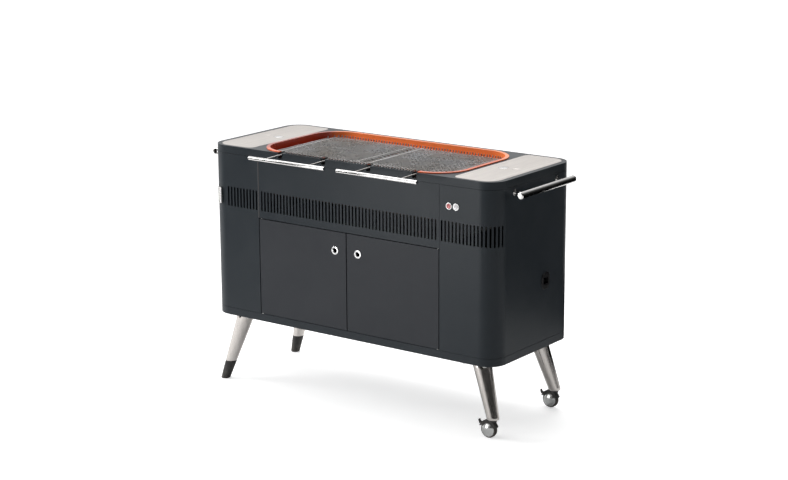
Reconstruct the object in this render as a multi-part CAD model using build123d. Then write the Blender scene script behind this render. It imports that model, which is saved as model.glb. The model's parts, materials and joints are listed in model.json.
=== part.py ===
"""Free-standing cabinet charcoal grill on four splayed legs.

Millimetres, +Z up, -Y is the front with the doors and +X is the right-hand end with the castors.
Every piece is modelled about the centre of the cabinet's footprint, with the floor at z = 0.
Export then moves all of them by centre_shift along Y, which puts the origin under the middle of
the whole object's box, because the grill handles stand out in front of the cabinet.
"""
from build123d import *
import os
from math import atan2, cos, degrees, hypot, radians, sin

# ---- cabinet
body_width = 1250.0
body_depth = 495.0
overall_height = 905.0
corner_radius = 67.0
sheet = 2.0                 # folded panel thickness
frame_wall = 3.0            # base tray and top frame wall
base_height = 267.6         # floor to the underside of the base tray
base_band = 28.8
rim_band = 28.2
flange_depth = 28.0         # inward folds that panels are fixed to
seam = 1.5                  # shadow line between bands and panels
panel_gap = 1.2

# ---- front opening and doors
end_width = 226.25          # front of each end shell, from the cabinet's end to the doors
door_drop = 253.6           # top of the doors below the deck
door_gap = 3.0
door_edge_gap = 2.75        # between a door's outer edge and the end shell
door_floor_gap = 1.6
door_thickness = 18.0
door_fold = 12.0
door_edge_radius = 1.5
pivot_inset = 5.5           # pivot axis behind the face and in from the outer edge
pivot_block = 16.0
pin_radius = 3.0
pin_length = 9.0
pin_end_gap = 1.0
washer_gap = 0.3
ring_offset = 50.5          # finger ring from the middle of the cabinet
ring_drop = 67.8            # finger ring below the top of the door
ring_radius = 15.0
ring_sleeve_radius = 12.0
ring_bore = 8.0
ring_stand = 2.0

# ---- air slots
slot_pitch = 14.74
slot_width = 7.0
slot_rise = 30.1            # slot ends above the top of the doors
slot_length = 73.3
side_slot_inset = 9.35      # first slot of an end shell from the edge of its front
centre_slot_margin = 8.0
back_slots = 41
left_corner_first = 2       # corner slots before this one make room for the lever

# ---- top deck and preparation plates
deck = 5.0
pocket = 3.0
plate_thickness = 3.5
plate_rim_gap = 11.0        # plate from the firebox rim
plate_end_margin = 20.0
plate_side_margin = 14.0
plate_inner_radius = 25.0
plate_outer_radius = 50.0
plate_clearance = 0.8
recess_inset = 55.0         # finger recess from the plate's outer edge
recess_radius = 60.0
recess_depth = 2.0

# ---- firebox
well_side_gap = 4.75        # inside of the firebox from the end shell's edge
well_front_margin = 35.5
well_back_margin = 52.5
well_depth_below = 163.0    # underside of the firebox below the deck
well_radius = 60.0
enamel = 2.0
step_out = 22.0             # the firebox is wider above the ledge that carries the grills
rim_width = 14.0            # rolled rim outside the wider part
rim_front_margin = 7.5
rim_back_margin = 25.5
rim_radius = 125.0
rim_height = 3.5            # rolled rim above the deck
rim_round = 1.6
well_gap = 2.0
ledge_drop = 24.5
ledge_width = 14.0
ledge = 3.0
air_hole_radius = 7.0
air_hole_pitch = 80.0

# ---- charcoal tray and heating element
tray_side_gap = 28.0
tray_end_gap = 26.5
tray_drop = 115.0
tray_wall = 40.0
tray_radius = 40.0
tray_shelf_width = 44.0
tray_slot_pitch = 30.0
tray_slot_width = 8.0
element_radius = 4.0
element_drop = 133.0
element_inset = 114.0       # hairpin end from the firebox's left wall
element_half_spacing = 60.0
element_tail = 20.0
element_clearance = 0.6
clamp_width = 14.0

# ---- wire grills and their handles
wire_radius = 2.25
wire_pitch = 12.2
cross_radius = 3.0
corner_cutback = 32.0       # end cross rods stop short of the firebox's rounded corners
stout_radius = 3.6
stout_inset = 19.1          # inner stout bar from the innermost wire
stout_wires = 2             # wires outside the outer stout bar
weld_bite = 0.8
wire_gap = 7.0              # wire ends from the firebox wall
wire_bend = 5.0
wire_wall_gap = 9.0         # raised wires from the firebox's front wall
wire_tip_margin = 5.5       # wire tips behind the cabinet's front
wire_lip_gap = 0.4          # raised wires above the deck
back_upturn = 9.0
handle_radius = 7.0
handle_inset = 27.0         # bar ends from the middle of the cabinet
handle_reach = 84.0         # handle axis in front of the cabinet face
handle_drop = 12.0
arm_radius = 3.25
arm_drop = 8.0
arm_bend = 3.6
arm_ledge_gap = 0.3
notch_half_width = 9.0
notch_drop = 21.0

# ---- side handles
side_tube_radius = 12.5
side_tube_wall = 1.5
side_tube_margin = 79.5     # tube ends from the cabinet's front and back
side_tube_reach = 45.0      # tube axis from the end panel
side_tube_drop = 48.0
side_post_radius = 5.0
side_post_inset = 35.0
side_rose_radius = 11.0
side_rose = 3.0
cap_crown = 3.0
cap_plug = 10.0

# ---- legs and feet
leg_inset_x = 99.5          # leg tops from the cabinet's ends
leg_inset_y = 70.3          # leg tops from its front and back
leg_splay_x = 0.331         # outward run for each millimetre down
leg_splay_y = 0.114
leg_top_radius = 34.0
leg_end_radius = 21.8
leg_end = 72.0              # lower end of the metal
leg_wall = 2.5
leg_plug = 23.0
leg_plate = 104.0
leg_plate_thickness = 5.0
leg_plate_radius = 10.0
bolt_offset = 42.0
bolt_radius = 4.0
bolt_clearance = 0.3
bolt_head_radius = 7.0
bolt_head = 5.0
spigot_radius = 8.0
spigot = 15.0

# ---- castors
wheel_radius = 30.0
wheel_width = 16.0
wheel_trail = 21.5
wheel_side = 8.0            # middle of the wheel beside the stem
tyre_inner = 22.0
tyre_round = 3.5
boss_radius = 8.0
boss_stand = 2.0
axle_radius = 4.0
axle_head_radius = 6.5
axle_head = 2.5
running_clearance = 0.05
castor_stem_radius = 6.0
castor_collar_radius = 13.0
castor_play = 0.5           # collar below the leg, and hub clear of the axle's head
cheek_gap = 1.0
cheek = 2.0
hood_gap = 2.5
hood = 3.0
hood_rise = 10.0            # lower edge of the hood above the wheel's axis
dome_radius = 25.0
dome_rise = 7.0
brake_angle = 150.0         # brake pivot round the wheel's axis, up from +X
brake_reach = 4.6
brake_pin_radius = 1.5
ear_radius = 3.6
ear = 2.5
knuckle_radius = 3.4
knuckle = 10.4
knuckle_gap = 0.3
tab_thickness = 3.0
tab_height = 11.0

# ---- controls
button_drop = 98.0
ignition_inset = 39.15      # button centres from the edge of the right-hand end shell
power_inset = 67.95
button_radius = 9.45
button_stand = 3.0
button_depth = 5.5
button_travel = 2.5
bezel_radius = 12.2
bezel_sleeve_radius = 11.0
bezel_stand = 2.0
switch_length = 25.0
vent_angle = 18.0           # lever from the front, round the corner
shutter_gap = 1.5
shutter = 1.5
shutter_margin = 8.0
lever_height = 60.0
lever_width = 22.0
lever_stand = 2.0
lever_depth = 8.0
lever_groove = 5.0
lever_stem = 5.0
inlet_y = 68.0
inlet_rise = 212.6          # above the base tray
inlet_width = 50.0
inlet_tall = 60.0
inlet_flange = 3.0
inlet_depth = 32.0
socket_width = 30.0
socket_tall = 24.0
socket_depth = 24.0
inlet_wall = 4.0
blade_length = 16.0
control_depth = 56.0
control_height = 120.0

# ---- spit posts
spit_inset = 57.0           # post from the plate's inner edge
spit_y = -8.0
spit_radius = 11.0
spit_wall = 1.5
spit_cap_overhang = 6.0
spit_cap_clearance = 0.6
spit_length = 265.0
spit_hole_radius = 5.5
spit_hole_drop = 14.0
guide_length = 210.0
guide_wall = 2.5
guide_flange = 10.0

# ---- inside
partition_rise = 10.6       # above the top of the doors
shelf_rise = 171.6          # above the base tray
shelf_fold = 20.0
shelf_front_margin = 47.5
shelf_back_margin = 32.5
catch_inset = 12.0
catch_width = 22.0
catch_height = 20.0
catch_depth = 7.0
catch_gap = 1.0

# ---- worked out from the sizes above
half_width = body_width / 2
half_depth = body_depth / 2
front = -half_depth
base_top = base_height + base_band
rim_bottom = overall_height - rim_band
opening = half_width - end_width
corner_x = half_width - corner_radius
corner_y = half_depth - corner_radius

door_top = overall_height - door_drop
fascia_bottom = door_top + door_gap
door_bottom = base_top + door_floor_gap
door_outer = opening - door_edge_gap
pivot_x = door_outer - pivot_inset
pivot_y = front + pivot_inset
ring_height = door_top - ring_drop

slot_bottom = door_top + slot_rise
slot_top = slot_bottom + slot_length
slot_middle = (slot_bottom + slot_top) / 2
slot_angle = degrees(slot_pitch / corner_radius)
first_side_slot = opening + side_slot_inset
centre_slots = int(2 * (opening - centre_slot_margin) / slot_pitch)
right_flat_slots = int((corner_x - first_side_slot) / slot_pitch) + 1
left_flat_slots = right_flat_slots - 1
corner_slots = int(corner_radius * radians(90) / slot_pitch) - 1
vent_travel = slot_angle / 2

well_half_width = opening - well_side_gap
well_front = front + well_front_margin
well_back = half_depth - well_back_margin
well_depth = well_back - well_front
well_y = (well_back + well_front) / 2
well_floor = overall_height - well_depth_below
step_half_width = well_half_width + step_out
rim_half_width = step_half_width + rim_width
rim_front = front + rim_front_margin
rim_back = half_depth - rim_back_margin
step_front = rim_front + rim_width
step_back = rim_back - rim_width
ledge_top = overall_height - ledge_drop

plate_inner = rim_half_width + plate_rim_gap
plate_outer = half_width - plate_end_margin
plate_half_depth = half_depth - plate_side_margin

tray_half_width = well_half_width - tray_side_gap
tray_half_depth = well_depth / 2 - tray_end_gap
tray_floor = overall_height - tray_drop
tray_row = 0.56 * tray_half_depth
element_height = overall_height - element_drop
element_front = well_y - element_half_spacing
element_back = well_y + element_half_spacing

grill_offset = well_half_width / 2
wires_per_grill = int(well_half_width / wire_pitch)
grill_half = (wires_per_grill - 1) * wire_pitch / 2
cross_z = ledge_top + cross_radius
wire_z = cross_z + cross_radius + wire_radius - weld_bite
front_cross_y = well_front + ledge_width - cross_radius
back_cross_y = well_back - ledge_width + cross_radius
cross_spacing = 0.27 * well_depth
handle_half = grill_offset - handle_inset
handle_y = front - handle_reach
handle_height = overall_height - handle_drop
arm_half_spacing = grill_half - (wires_per_grill // 4 - 0.5) * wire_pitch   # midway between two wires
arm_height = overall_height - arm_drop
notch_floor = overall_height - notch_drop
front_lip_half = grill_offset + arm_half_spacing + notch_half_width   # no rolled rim between the notches

side_tube_half = half_depth - side_tube_margin
side_tube_height = overall_height - side_tube_drop
side_post_y = side_tube_half - side_post_inset

leg_top_x = half_width - leg_inset_x
leg_top_y = half_depth - leg_inset_y

button_height = overall_height - button_drop
ignition_x = opening + ignition_inset
power_x = opening + power_inset
switch_face = front + button_depth + button_travel + 1
inlet_height = base_top + inlet_rise

spit_x = plate_inner + spit_inset
spit_cap_radius = spit_radius + spit_cap_overhang

partition_x = opening + sheet
partition_top = door_top + partition_rise
shelf_height = base_top + shelf_rise
shelf_front = front + shelf_front_margin
shelf_back = half_depth - shelf_back_margin

centre_shift = (handle_reach + handle_radius) / 2


def block(x0, x1, y0, y1, z0, z1):
    """A box between two corners."""
    size = Box(x1 - x0, y1 - y0, z1 - z0)
    return Pos((x0 + x1) / 2, (y0 + y1) / 2, (z0 + z1) / 2) * size


def rounded_slab(width, depth, radius, z0, z1, y=0.0):
    """A flat slab with rounded vertical edges, centred on x = 0."""
    return Pos(0, y, z0) * extrude(RectangleRounded(width, depth, radius), z1 - z0)


def cylinder(start, end, radius):
    """A round bar between two points."""
    start = Vector(*start)
    along = Vector(*end) - start
    place = Plane(origin=start, z_dir=along)
    return place * Cylinder(radius, along.length, align=(Align.CENTER, Align.CENTER, Align.MIN))


def bent_rod(points, radius, bend):
    """A round rod along straight runs joined by arcs of one bend radius."""
    path = FilletPolyline(*points, radius=bend)
    profile = Plane(origin=path @ 0, z_dir=path % 0) * Circle(radius)
    return sweep(profile, path=path)


def fused(pieces):
    """One solid from pieces that overlap."""
    return pieces[0].fuse(*pieces[1:])


def group(pieces):
    """Separate solids kept together in one node."""
    solids = []
    for piece in pieces:
        solids += piece.solids()
    return Compound(solids)


def mirrored_x(piece):
    """The same piece for the other end of the cabinet."""
    return mirror(piece, about=Plane.YZ)


def flat_slot(x, y):
    """A cutter for one upright air slot through a panel that faces the front or the back."""
    place = Plane(origin=(x, y, slot_middle), x_dir=(0, 0, 1), z_dir=(0, -1, 0))
    return extrude(place * SlotOverall(slot_length, slot_width), 2 * sheet, both=True)


def corner_slot(angle, side):
    """A cutter for an upright air slot at an angle round a front corner; side is -1 or +1."""
    outward = (side * sin(radians(angle)), -cos(radians(angle)), 0)
    middle = (side * corner_x + corner_radius * outward[0],
              -corner_y + corner_radius * outward[1], slot_middle)
    place = Plane(origin=middle, x_dir=(0, 0, 1), z_dir=outward)
    return extrude(place * SlotOverall(slot_length, slot_width), 4 * sheet, both=True)


def corner_slot_angles(first):
    """Angles of the corner slots, which carry the flat row's pitch on along the curve."""
    start = degrees((first_side_slot + right_flat_slots * slot_pitch - corner_x) / corner_radius)
    return [start + slot_angle * k for k in range(first, corner_slots)]


# ---------------------------------------------------------------- cabinet
def leg_centres():
    """Where each leg's axis meets the underside of the base: x side, y side."""
    return [(-1, -1), (-1, 1), (1, -1), (1, 1)]


def bolt_centres():
    """The four bolts of every leg plate."""
    spots = []
    for side_x, side_y in leg_centres():
        for dx in (-bolt_offset, bolt_offset):
            for dy in (-bolt_offset, bolt_offset):
                spots.append((side_x * leg_top_x + dx, side_y * leg_top_y + dy))
    return spots


def band_groove(z0, z1):
    """A cutter for the shadow line round a band."""
    outer = rounded_slab(body_width + 2, body_depth + 2, corner_radius + 1, z0, z1)
    inner = rounded_slab(body_width - 2 * seam, body_depth - 2 * seam, corner_radius - seam, z0, z1)
    return outer - inner


def base_pan():
    """Shallow tray with an inward flange that carries the panels and the door pins."""
    inner_radius = corner_radius - frame_wall
    width, depth = body_width - 2 * frame_wall, body_depth - 2 * frame_wall
    pan = rounded_slab(body_width, body_depth, corner_radius, base_height, base_top)
    pan -= rounded_slab(width, depth, inner_radius, base_height + sheet, base_top)
    flange = rounded_slab(width, depth, inner_radius, base_top - frame_wall, base_top)
    flange -= rounded_slab(body_width - 2 * flange_depth, body_depth - 2 * flange_depth,
                           corner_radius - flange_depth, base_top - frame_wall, base_top)
    pan += flange
    pan -= band_groove(base_top - seam, base_top)
    for x, y in bolt_centres():
        pan -= cylinder((x, y, base_height), (x, y, base_height + sheet), bolt_radius + bolt_clearance)
    return pan


def end_shell(side):
    """One end of the cabinet: front panel, rounded corners, end panel and back panel in one sheet."""
    z0, z1 = base_top, rim_bottom
    shell = rounded_slab(body_width, body_depth, corner_radius, z0, z1)
    shell -= rounded_slab(body_width - 2 * sheet, body_depth - 2 * sheet, corner_radius - sheet, z0, z1)
    near, far = sorted((side * opening, side * (half_width + 1)))
    shell &= block(near, far, -half_depth - 1, half_depth + 1, z0, z1)
    fold0, fold1 = sorted((side * opening, side * (opening + sheet)))
    for y0, y1 in ((front, front + flange_depth), (half_depth - flange_depth, half_depth)):
        shell += block(fold0, fold1, y0, y1, z0, z1)
    for fixing in (-side_post_y, side_post_y):
        shell -= cylinder((side * (half_width - 2 * sheet), fixing, side_tube_height),
                          (side * (half_width + 1), fixing, side_tube_height), side_post_radius)
    return shell


def left_side_shell():
    shell = end_shell(-1)
    cutters = [flat_slot(-(first_side_slot + slot_pitch * k), front) for k in range(left_flat_slots)]
    cutters += [corner_slot(angle, -1) for angle in corner_slot_angles(left_corner_first)]
    cutters.append(lever_slot())
    return shell - cutters


def right_side_shell():
    shell = end_shell(1)
    cutters = [flat_slot(first_side_slot + slot_pitch * k, front) for k in range(right_flat_slots)]
    cutters += [corner_slot(angle, 1) for angle in corner_slot_angles(0)]
    for x in (ignition_x, power_x):
        cutters.append(cylinder((x, front - 1, button_height), (x, front + 2 * sheet, button_height),
                                bezel_sleeve_radius))
    cutters.append(inlet_body())
    return shell - cutters


def centre_panel(y_face, inward, z0):
    """A folded panel between the end shells; inward is +1 at the front and -1 at the back."""
    edge = opening - panel_gap

    def layer(x0, x1, depth, low, high):
        y0, y1 = sorted((y_face, y_face + inward * depth))
        return block(x0, x1, y0, y1, low, high)

    panel = layer(-edge, edge, sheet, z0, rim_bottom)
    panel += layer(-edge, -edge + sheet, flange_depth, z0, rim_bottom)
    panel += layer(edge - sheet, edge, flange_depth, z0, rim_bottom)
    panel += layer(-edge, edge, flange_depth, z0, z0 + sheet)
    return panel


def front_fascia():
    """Panel above the doors, with the long row of air slots."""
    middle = (centre_slots - 1) / 2
    slots = [flat_slot(slot_pitch * (k - middle), front) for k in range(centre_slots)]
    return centre_panel(front, 1, fascia_bottom) - slots


def back_panel():
    """Removable panel across the back, with a shorter row of the same slots."""
    middle = (back_slots - 1) / 2
    slots = [flat_slot(slot_pitch * (k - middle), half_depth) for k in range(back_slots)]
    return centre_panel(half_depth, -1, base_top) - slots


def partition(side):
    """Wall between the middle cupboard and an end compartment."""
    near, far = sorted((side * partition_x, side * (partition_x + sheet)))
    return block(near, far, front + sheet, half_depth - sheet, base_top, partition_top)


def heat_shield():
    """Ceiling of the cupboard, which keeps the firebox's heat and ash out of it."""
    reach = partition_x + sheet
    depth = half_depth - flange_depth
    shield = block(-reach, reach, -depth, depth, partition_top, partition_top + sheet)
    lip = block(-reach, reach, -depth, -depth + sheet, partition_top, partition_top + 5 * sheet)
    return shield + lip


def storage_shelf():
    """Cupboard shelf with its edges folded down."""
    z0, z1 = shelf_height, shelf_height + sheet
    shelf = block(-partition_x, partition_x, shelf_front, shelf_back, z0, z1)
    shelf += block(-partition_x, -partition_x + sheet, shelf_front, shelf_back, z1 - shelf_fold, z1)
    shelf += block(partition_x - sheet, partition_x, shelf_front, shelf_back, z1 - shelf_fold, z1)
    shelf += block(-partition_x, partition_x, shelf_front, shelf_front + sheet, z1 - shelf_fold, z1)
    return shelf


# ---------------------------------------------------------------- top
def plate_shape(grow, z0, z1):
    """Right-hand plate outline: small inner corners, outer corners that follow the cabinet."""
    width = plate_outer - plate_inner
    inner = Pos((plate_inner + plate_outer) / 2, 0, z0) * extrude(
        RectangleRounded(width + 2 * grow, 2 * (plate_half_depth + grow), plate_inner_radius + grow),
        z1 - z0)
    outer = rounded_slab(2 * (plate_outer + grow), 2 * (plate_half_depth + grow),
                         plate_outer_radius + grow, z0, z1)
    return inner & outer


def arm_centres():
    """x of the four handle arms."""
    return [side * grill_offset + arm for side in (-1, 1) for arm in (-arm_half_spacing, arm_half_spacing)]


def arm_notches():
    """Cutters for the four open notches that the handle arms drop into."""
    top = overall_height + rim_height + 1
    return [block(x - notch_half_width, x + notch_half_width, front - 1, well_front + 1, notch_floor, top)
            for x in arm_centres()]


def firebox_step(grow, z0, z1):
    """The wider part of the firebox, above the ledge."""
    depth = step_back - step_front
    return rounded_slab(2 * (step_half_width + grow), depth + 2 * grow, rim_radius - rim_width + grow,
                        z0, z1, y=(step_back + step_front) / 2)


def top_frame():
    """Rim band and deck in one piece, with pockets for the plates and an opening for the firebox."""
    inner_radius = corner_radius - frame_wall
    width, depth = body_width - 2 * frame_wall, body_depth - 2 * frame_wall
    frame = rounded_slab(body_width, body_depth, corner_radius, rim_bottom, overall_height)
    frame -= rounded_slab(width, depth, inner_radius, rim_bottom, overall_height - deck)
    frame -= band_groove(rim_bottom, rim_bottom + seam)
    right_pocket = plate_shape(plate_clearance, overall_height - pocket, overall_height)
    frame -= right_pocket
    frame -= mirrored_x(right_pocket)
    z0, z1 = overall_height - deck, overall_height
    frame -= firebox_step(enamel + well_gap, z0, z1)
    for side in (-1, 1):
        frame -= cylinder((side * spit_x, spit_y, z0), (side * spit_x, spit_y, z1),
                          spit_radius + spit_wall)
    return frame - arm_notches()


def prep_plate():
    """Right-hand stainless plate with the hole for the spit post's cap and a finger recess."""
    z0 = overall_height - pocket
    z1 = z0 + plate_thickness
    plate = plate_shape(0.0, z0, z1)
    plate = fillet(plate.faces().sort_by(Axis.Z)[-1].edges(), 1.0)
    plate -= cylinder((spit_x, spit_y, z0), (spit_x, spit_y, z1), spit_cap_radius + spit_cap_clearance)
    recess = Pos(plate_outer - recess_inset, spit_y, z1 + recess_radius - recess_depth) * Sphere(
        recess_radius)
    return plate - recess


def firebox():
    """Enamelled tub with a rolled rim, a ledge for the grills and shelves for the charcoal tray."""
    width = 2 * well_half_width
    top = overall_height + rim_height
    seat = ledge_top - ledge
    tub = rounded_slab(width + 2 * enamel, well_depth + 2 * enamel, well_radius + enamel,
                       well_floor, ledge_top, y=well_y)
    tub += firebox_step(enamel, seat, overall_height)
    rim = rounded_slab(2 * rim_half_width, rim_back - rim_front, rim_radius, overall_height, top,
                       y=(rim_back + rim_front) / 2)
    rim = fillet(rim.faces().sort_by(Axis.Z)[-1].edges(), rim_round)
    tub += rim
    tub -= firebox_step(0.0, ledge_top, top)
    tub -= rounded_slab(width, well_depth, well_radius, well_floor + enamel, seat, y=well_y)
    tub -= rounded_slab(width - 2 * ledge_width, well_depth - 2 * ledge_width, well_radius - ledge_width,
                        seat, ledge_top, y=well_y)
    tub -= block(-front_lip_half, front_lip_half, rim_front - 1, well_front, overall_height, top)
    for side in (-1, 1):
        near, far = sorted((side * (well_half_width - tray_shelf_width), side * well_half_width))
        tub += block(near, far, well_y - 0.34 * well_depth, well_y + 0.34 * well_depth, tray_floor - ledge,
                     tray_floor)
    columns = int((well_half_width - well_radius) / air_hole_pitch)
    for column in range(-columns, columns + 1):
        for row in (-1, 0, 1):
            x, y = column * air_hole_pitch, well_y + row * cross_spacing
            tub -= cylinder((x, y, well_floor), (x, y, well_floor + enamel), air_hole_radius)
    for y in (element_front, element_back):
        tub -= cylinder((well_half_width - 1, y, element_height),
                        (well_half_width + 2 * enamel, y, element_height),
                        element_radius + element_clearance)
    return tub - arm_notches()


def charcoal_tray():
    """Slotted stainless tray that holds the charcoal above the element."""
    z0, z1 = tray_floor, tray_floor + tray_wall
    tray = rounded_slab(2 * tray_half_width, 2 * tray_half_depth, tray_radius, z0, z1, y=well_y)
    tray -= rounded_slab(2 * (tray_half_width - sheet), 2 * (tray_half_depth - sheet),
                         tray_radius - sheet, z0 + sheet, z1, y=well_y)
    slots = []
    columns = int((tray_half_width - tray_radius) / tray_slot_pitch)
    for column in range(-columns, columns + 1):
        for row in (-1, 0, 1):
            slot = Pos(column * tray_slot_pitch, well_y + row * tray_row, z0) * Rot(0, 0, 90) * SlotOverall(
                0.7 * tray_row, tray_slot_width)
            slots.append(extrude(slot, sheet))
    return tray - slots


def heating_element():
    """Hairpin tube element under the charcoal tray; its ends leave through the right-hand wall."""
    tail = well_half_width + element_tail
    turn = -(well_half_width - element_inset)
    points = [(tail, element_front, element_height), (turn, element_front, element_height),
              (turn, element_back, element_height), (tail, element_back, element_height)]
    return bent_rod(points, element_radius, 0.9 * element_half_spacing)


def element_clamps():
    """Two small bridges that hold the element off the firebox floor."""
    top = element_height - element_radius
    y0, y1 = element_front - clamp_width, element_back + clamp_width
    bridges = []
    for x in (-0.3 * well_half_width, 0.5 * well_half_width):
        x0, x1 = x - clamp_width / 2, x + clamp_width / 2
        bridge = block(x0, x1, y0, y1, top - sheet, top)
        for y in (y0, y1 - sheet):
            bridge += block(x0, x1, y, y + sheet, well_floor + enamel, top)
        bridges.append(bridge)
    return group(bridges)


# ---------------------------------------------------------------- grills
def wire_ends(x):
    """Front and back ends of a wire inside the firebox's rounded opening."""
    inset = well_radius - wire_gap
    past = abs(x) - (well_half_width - well_radius)
    pull = inset - (inset ** 2 - past ** 2) ** 0.5 if past > 0 else 0.0
    return well_front + wire_gap + pull, well_back - wire_gap - pull


def grill(side):
    """Welded wire grill: wires from front to back on cross rods, running out over the front of the deck."""
    middle = side * grill_offset
    lip_z = overall_height + wire_lip_gap + wire_radius
    tip_y = front + wire_tip_margin
    pieces = []
    for k in range(wires_per_grill):
        x = middle + k * wire_pitch - grill_half
        y0, y1 = wire_ends(x)
        near_arm = min(abs(x - arm) for arm in arm_centres()) < notch_half_width + wire_radius
        points = [(x, y1, wire_z + back_upturn), (x, y1, wire_z)]
        if abs(x) < front_lip_half - wire_radius and not near_arm:
            points += [(x, front_cross_y, wire_z), (x, step_front + wire_wall_gap, lip_z),
                       (x, tip_y, lip_z)]
        else:
            points += [(x, y0, wire_z)]
        pieces.append(bent_rod(points, wire_radius, wire_bend))
    for y in (front_cross_y, well_y - cross_spacing, well_y, well_y + cross_spacing, back_cross_y):
        inside_corner = y in (front_cross_y, back_cross_y)
        outer = grill_half - corner_cutback if inside_corner else grill_half
        ends = sorted((middle - side * grill_half, middle + side * outer))
        pieces.append(cylinder((ends[0] - wire_radius, y, cross_z), (ends[1] + wire_radius, y, cross_z),
                               cross_radius))
    for offset in (-grill_half + stout_inset, grill_half - stout_wires * wire_pitch):
        x = middle + side * offset
        pieces.append(cylinder((x, front_cross_y, wire_z), (x, back_cross_y, wire_z), stout_radius))
    return fused(pieces)


def grill_handle(side):
    """Lifting handle: a round bar on two arms that reach back to the grill's front rod."""
    middle = side * grill_offset
    x0, x1 = middle - handle_half, middle + handle_half
    bar = cylinder((x0, handle_y, handle_height), (x1, handle_y, handle_height), handle_radius)
    bar = fillet(bar.edges(), 1.5)
    pieces = [bar]
    end_z = ledge_top + arm_radius + arm_ledge_gap
    for x in (middle - arm_half_spacing, middle + arm_half_spacing):
        points = [(x, handle_y, handle_height + 3), (x, front - 12, arm_height),
                  (x, well_front - 4, arm_height), (x, front_cross_y - 2 * arm_radius, end_z),
                  (x, front_cross_y, end_z)]
        pieces.append(bent_rod(points, arm_radius, arm_bend))
    rod = cylinder((x0, front_cross_y, cross_z), (x1, front_cross_y, cross_z), cross_radius)
    return fused(pieces) - rod


# ---------------------------------------------------------------- side handles
def side_handle(side):
    """Round towel-rail tube along one end."""
    x = side * (half_width + side_tube_reach)
    ends = ((x, -side_tube_half, side_tube_height), (x, side_tube_half, side_tube_height))
    return cylinder(*ends, side_tube_radius) - cylinder(*ends, side_tube_radius - side_tube_wall)


def handle_posts():
    """Four stand-off posts, each with a round rose against the end panel."""
    posts = []
    for side in (-1, 1):
        x = side * half_width
        axis_x = x + side * side_tube_reach
        tube = cylinder((axis_x, -side_tube_half, side_tube_height),
                        (axis_x, side_tube_half, side_tube_height), side_tube_radius)
        for y in (-side_post_y, side_post_y):
            post = cylinder((x - side * 3 * sheet, y, side_tube_height), (axis_x, y, side_tube_height),
                            side_post_radius)
            post += cylinder((x, y, side_tube_height), (x + side * side_rose, y, side_tube_height),
                             side_rose_radius)
            posts.append(post - tube)
    return group(posts)


def handle_caps():
    """Crowned plugs in the four tube ends."""
    caps = []
    bore = side_tube_radius - side_tube_wall
    for side in (-1, 1):
        x = side * (half_width + side_tube_reach)
        for end in (-1, 1):
            y = end * side_tube_half
            crown = cylinder((x, y, side_tube_height), (x, y + end * cap_crown, side_tube_height),
                             side_tube_radius)
            face = crown.faces().sort_by(Axis.Y)[-1 if end > 0 else 0]
            crown = fillet(face.edges(), cap_crown * 0.8)
            caps.append(crown + cylinder((x, y - end * cap_plug, side_tube_height),
                                         (x, y, side_tube_height), bore))
    return group(caps)


# ---------------------------------------------------------------- doors
def door(side):
    """Folded door pan with a finger hole and pivot blocks at its outer corners."""
    x0, x1 = sorted((side * door_gap / 2, side * door_outer))
    y0, y1 = front, front + door_thickness
    leaf = block(x0, x1, y0, y1, door_bottom, door_top)
    leaf = fillet(leaf.edges().filter_by(Axis.Z), door_edge_radius)
    leaf -= block(x0 + sheet, x1 - sheet, y0 + sheet, y1, door_bottom + sheet, door_top - sheet)
    fold = door_fold
    back = block(x0, x1, y1 - sheet, y1, door_bottom, door_top)
    back -= block(x0 + fold, x1 - fold, y1 - sheet, y1, door_bottom + fold, door_top - fold)
    leaf += back & fillet(block(x0, x1, y0, y1, door_bottom, door_top).edges().filter_by(Axis.Z),
                          door_edge_radius)
    near, far = sorted((side * (door_outer - sheet / 2), side * (door_outer - pivot_block)))
    for z0, z1 in ((door_bottom, door_bottom + fold), (door_top - fold, door_top)):
        leaf += block(near, far, y0 + sheet / 2, y1 - sheet / 2, z0, z1)
    pivot = (side * pivot_x, pivot_y)
    bore = pin_radius + running_clearance
    leaf -= cylinder((*pivot, door_bottom), (*pivot, door_bottom + pin_length), bore)
    leaf -= cylinder((*pivot, door_top - pin_length), (*pivot, door_top), bore)
    leaf -= cylinder((side * ring_offset, y0, ring_height), (side * ring_offset, y0 + sheet, ring_height),
                     ring_sleeve_radius)
    return leaf


def door_ring(side):
    """Chromed finger ring pressed into the door."""
    x = side * ring_offset
    ring = cylinder((x, front - ring_stand, ring_height), (x, front, ring_height), ring_radius)
    ring = fillet(ring.faces().sort_by(Axis.Y)[0].edges(), ring_stand * 0.7)
    ring += cylinder((x, front, ring_height), (x, front + 2 * sheet, ring_height), ring_sleeve_radius)
    return ring - cylinder((x, front - ring_stand, ring_height), (x, front + 2 * sheet, ring_height),
                           ring_bore)


def door_pins():
    """Pivot pins: the lower ones stand on the base, the upper ones hang from the fascia."""
    pins = []
    washer = door_floor_gap - washer_gap
    reach = pin_length - pin_end_gap
    for side in (-1, 1):
        x = side * pivot_x
        low = cylinder((x, pivot_y, base_top), (x, pivot_y, door_bottom + reach), pin_radius)
        low += cylinder((x, pivot_y, base_top), (x, pivot_y, base_top + washer), pin_radius + 2)
        high = cylinder((x, pivot_y, door_top - reach), (x, pivot_y, fascia_bottom), pin_radius)
        pins += [low, high]
    return group(pins)


def door_catches():
    """Two magnet catches under the fascia, just behind the closed doors."""
    y0 = front + door_thickness + catch_gap
    catches = []
    for side in (-1, 1):
        x0, x1 = sorted((side * catch_inset, side * (catch_inset + catch_width)))
        catches.append(block(x0, x1, y0, y0 + catch_depth, fascia_bottom - catch_height, fascia_bottom))
    return group(catches)


# ---------------------------------------------------------------- legs and castors
def leg_point(side_x, side_y, z):
    """A point on a leg's axis."""
    drop = base_height - z
    return (side_x * (leg_top_x + leg_splay_x * drop), side_y * (leg_top_y + leg_splay_y * drop), z)


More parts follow.
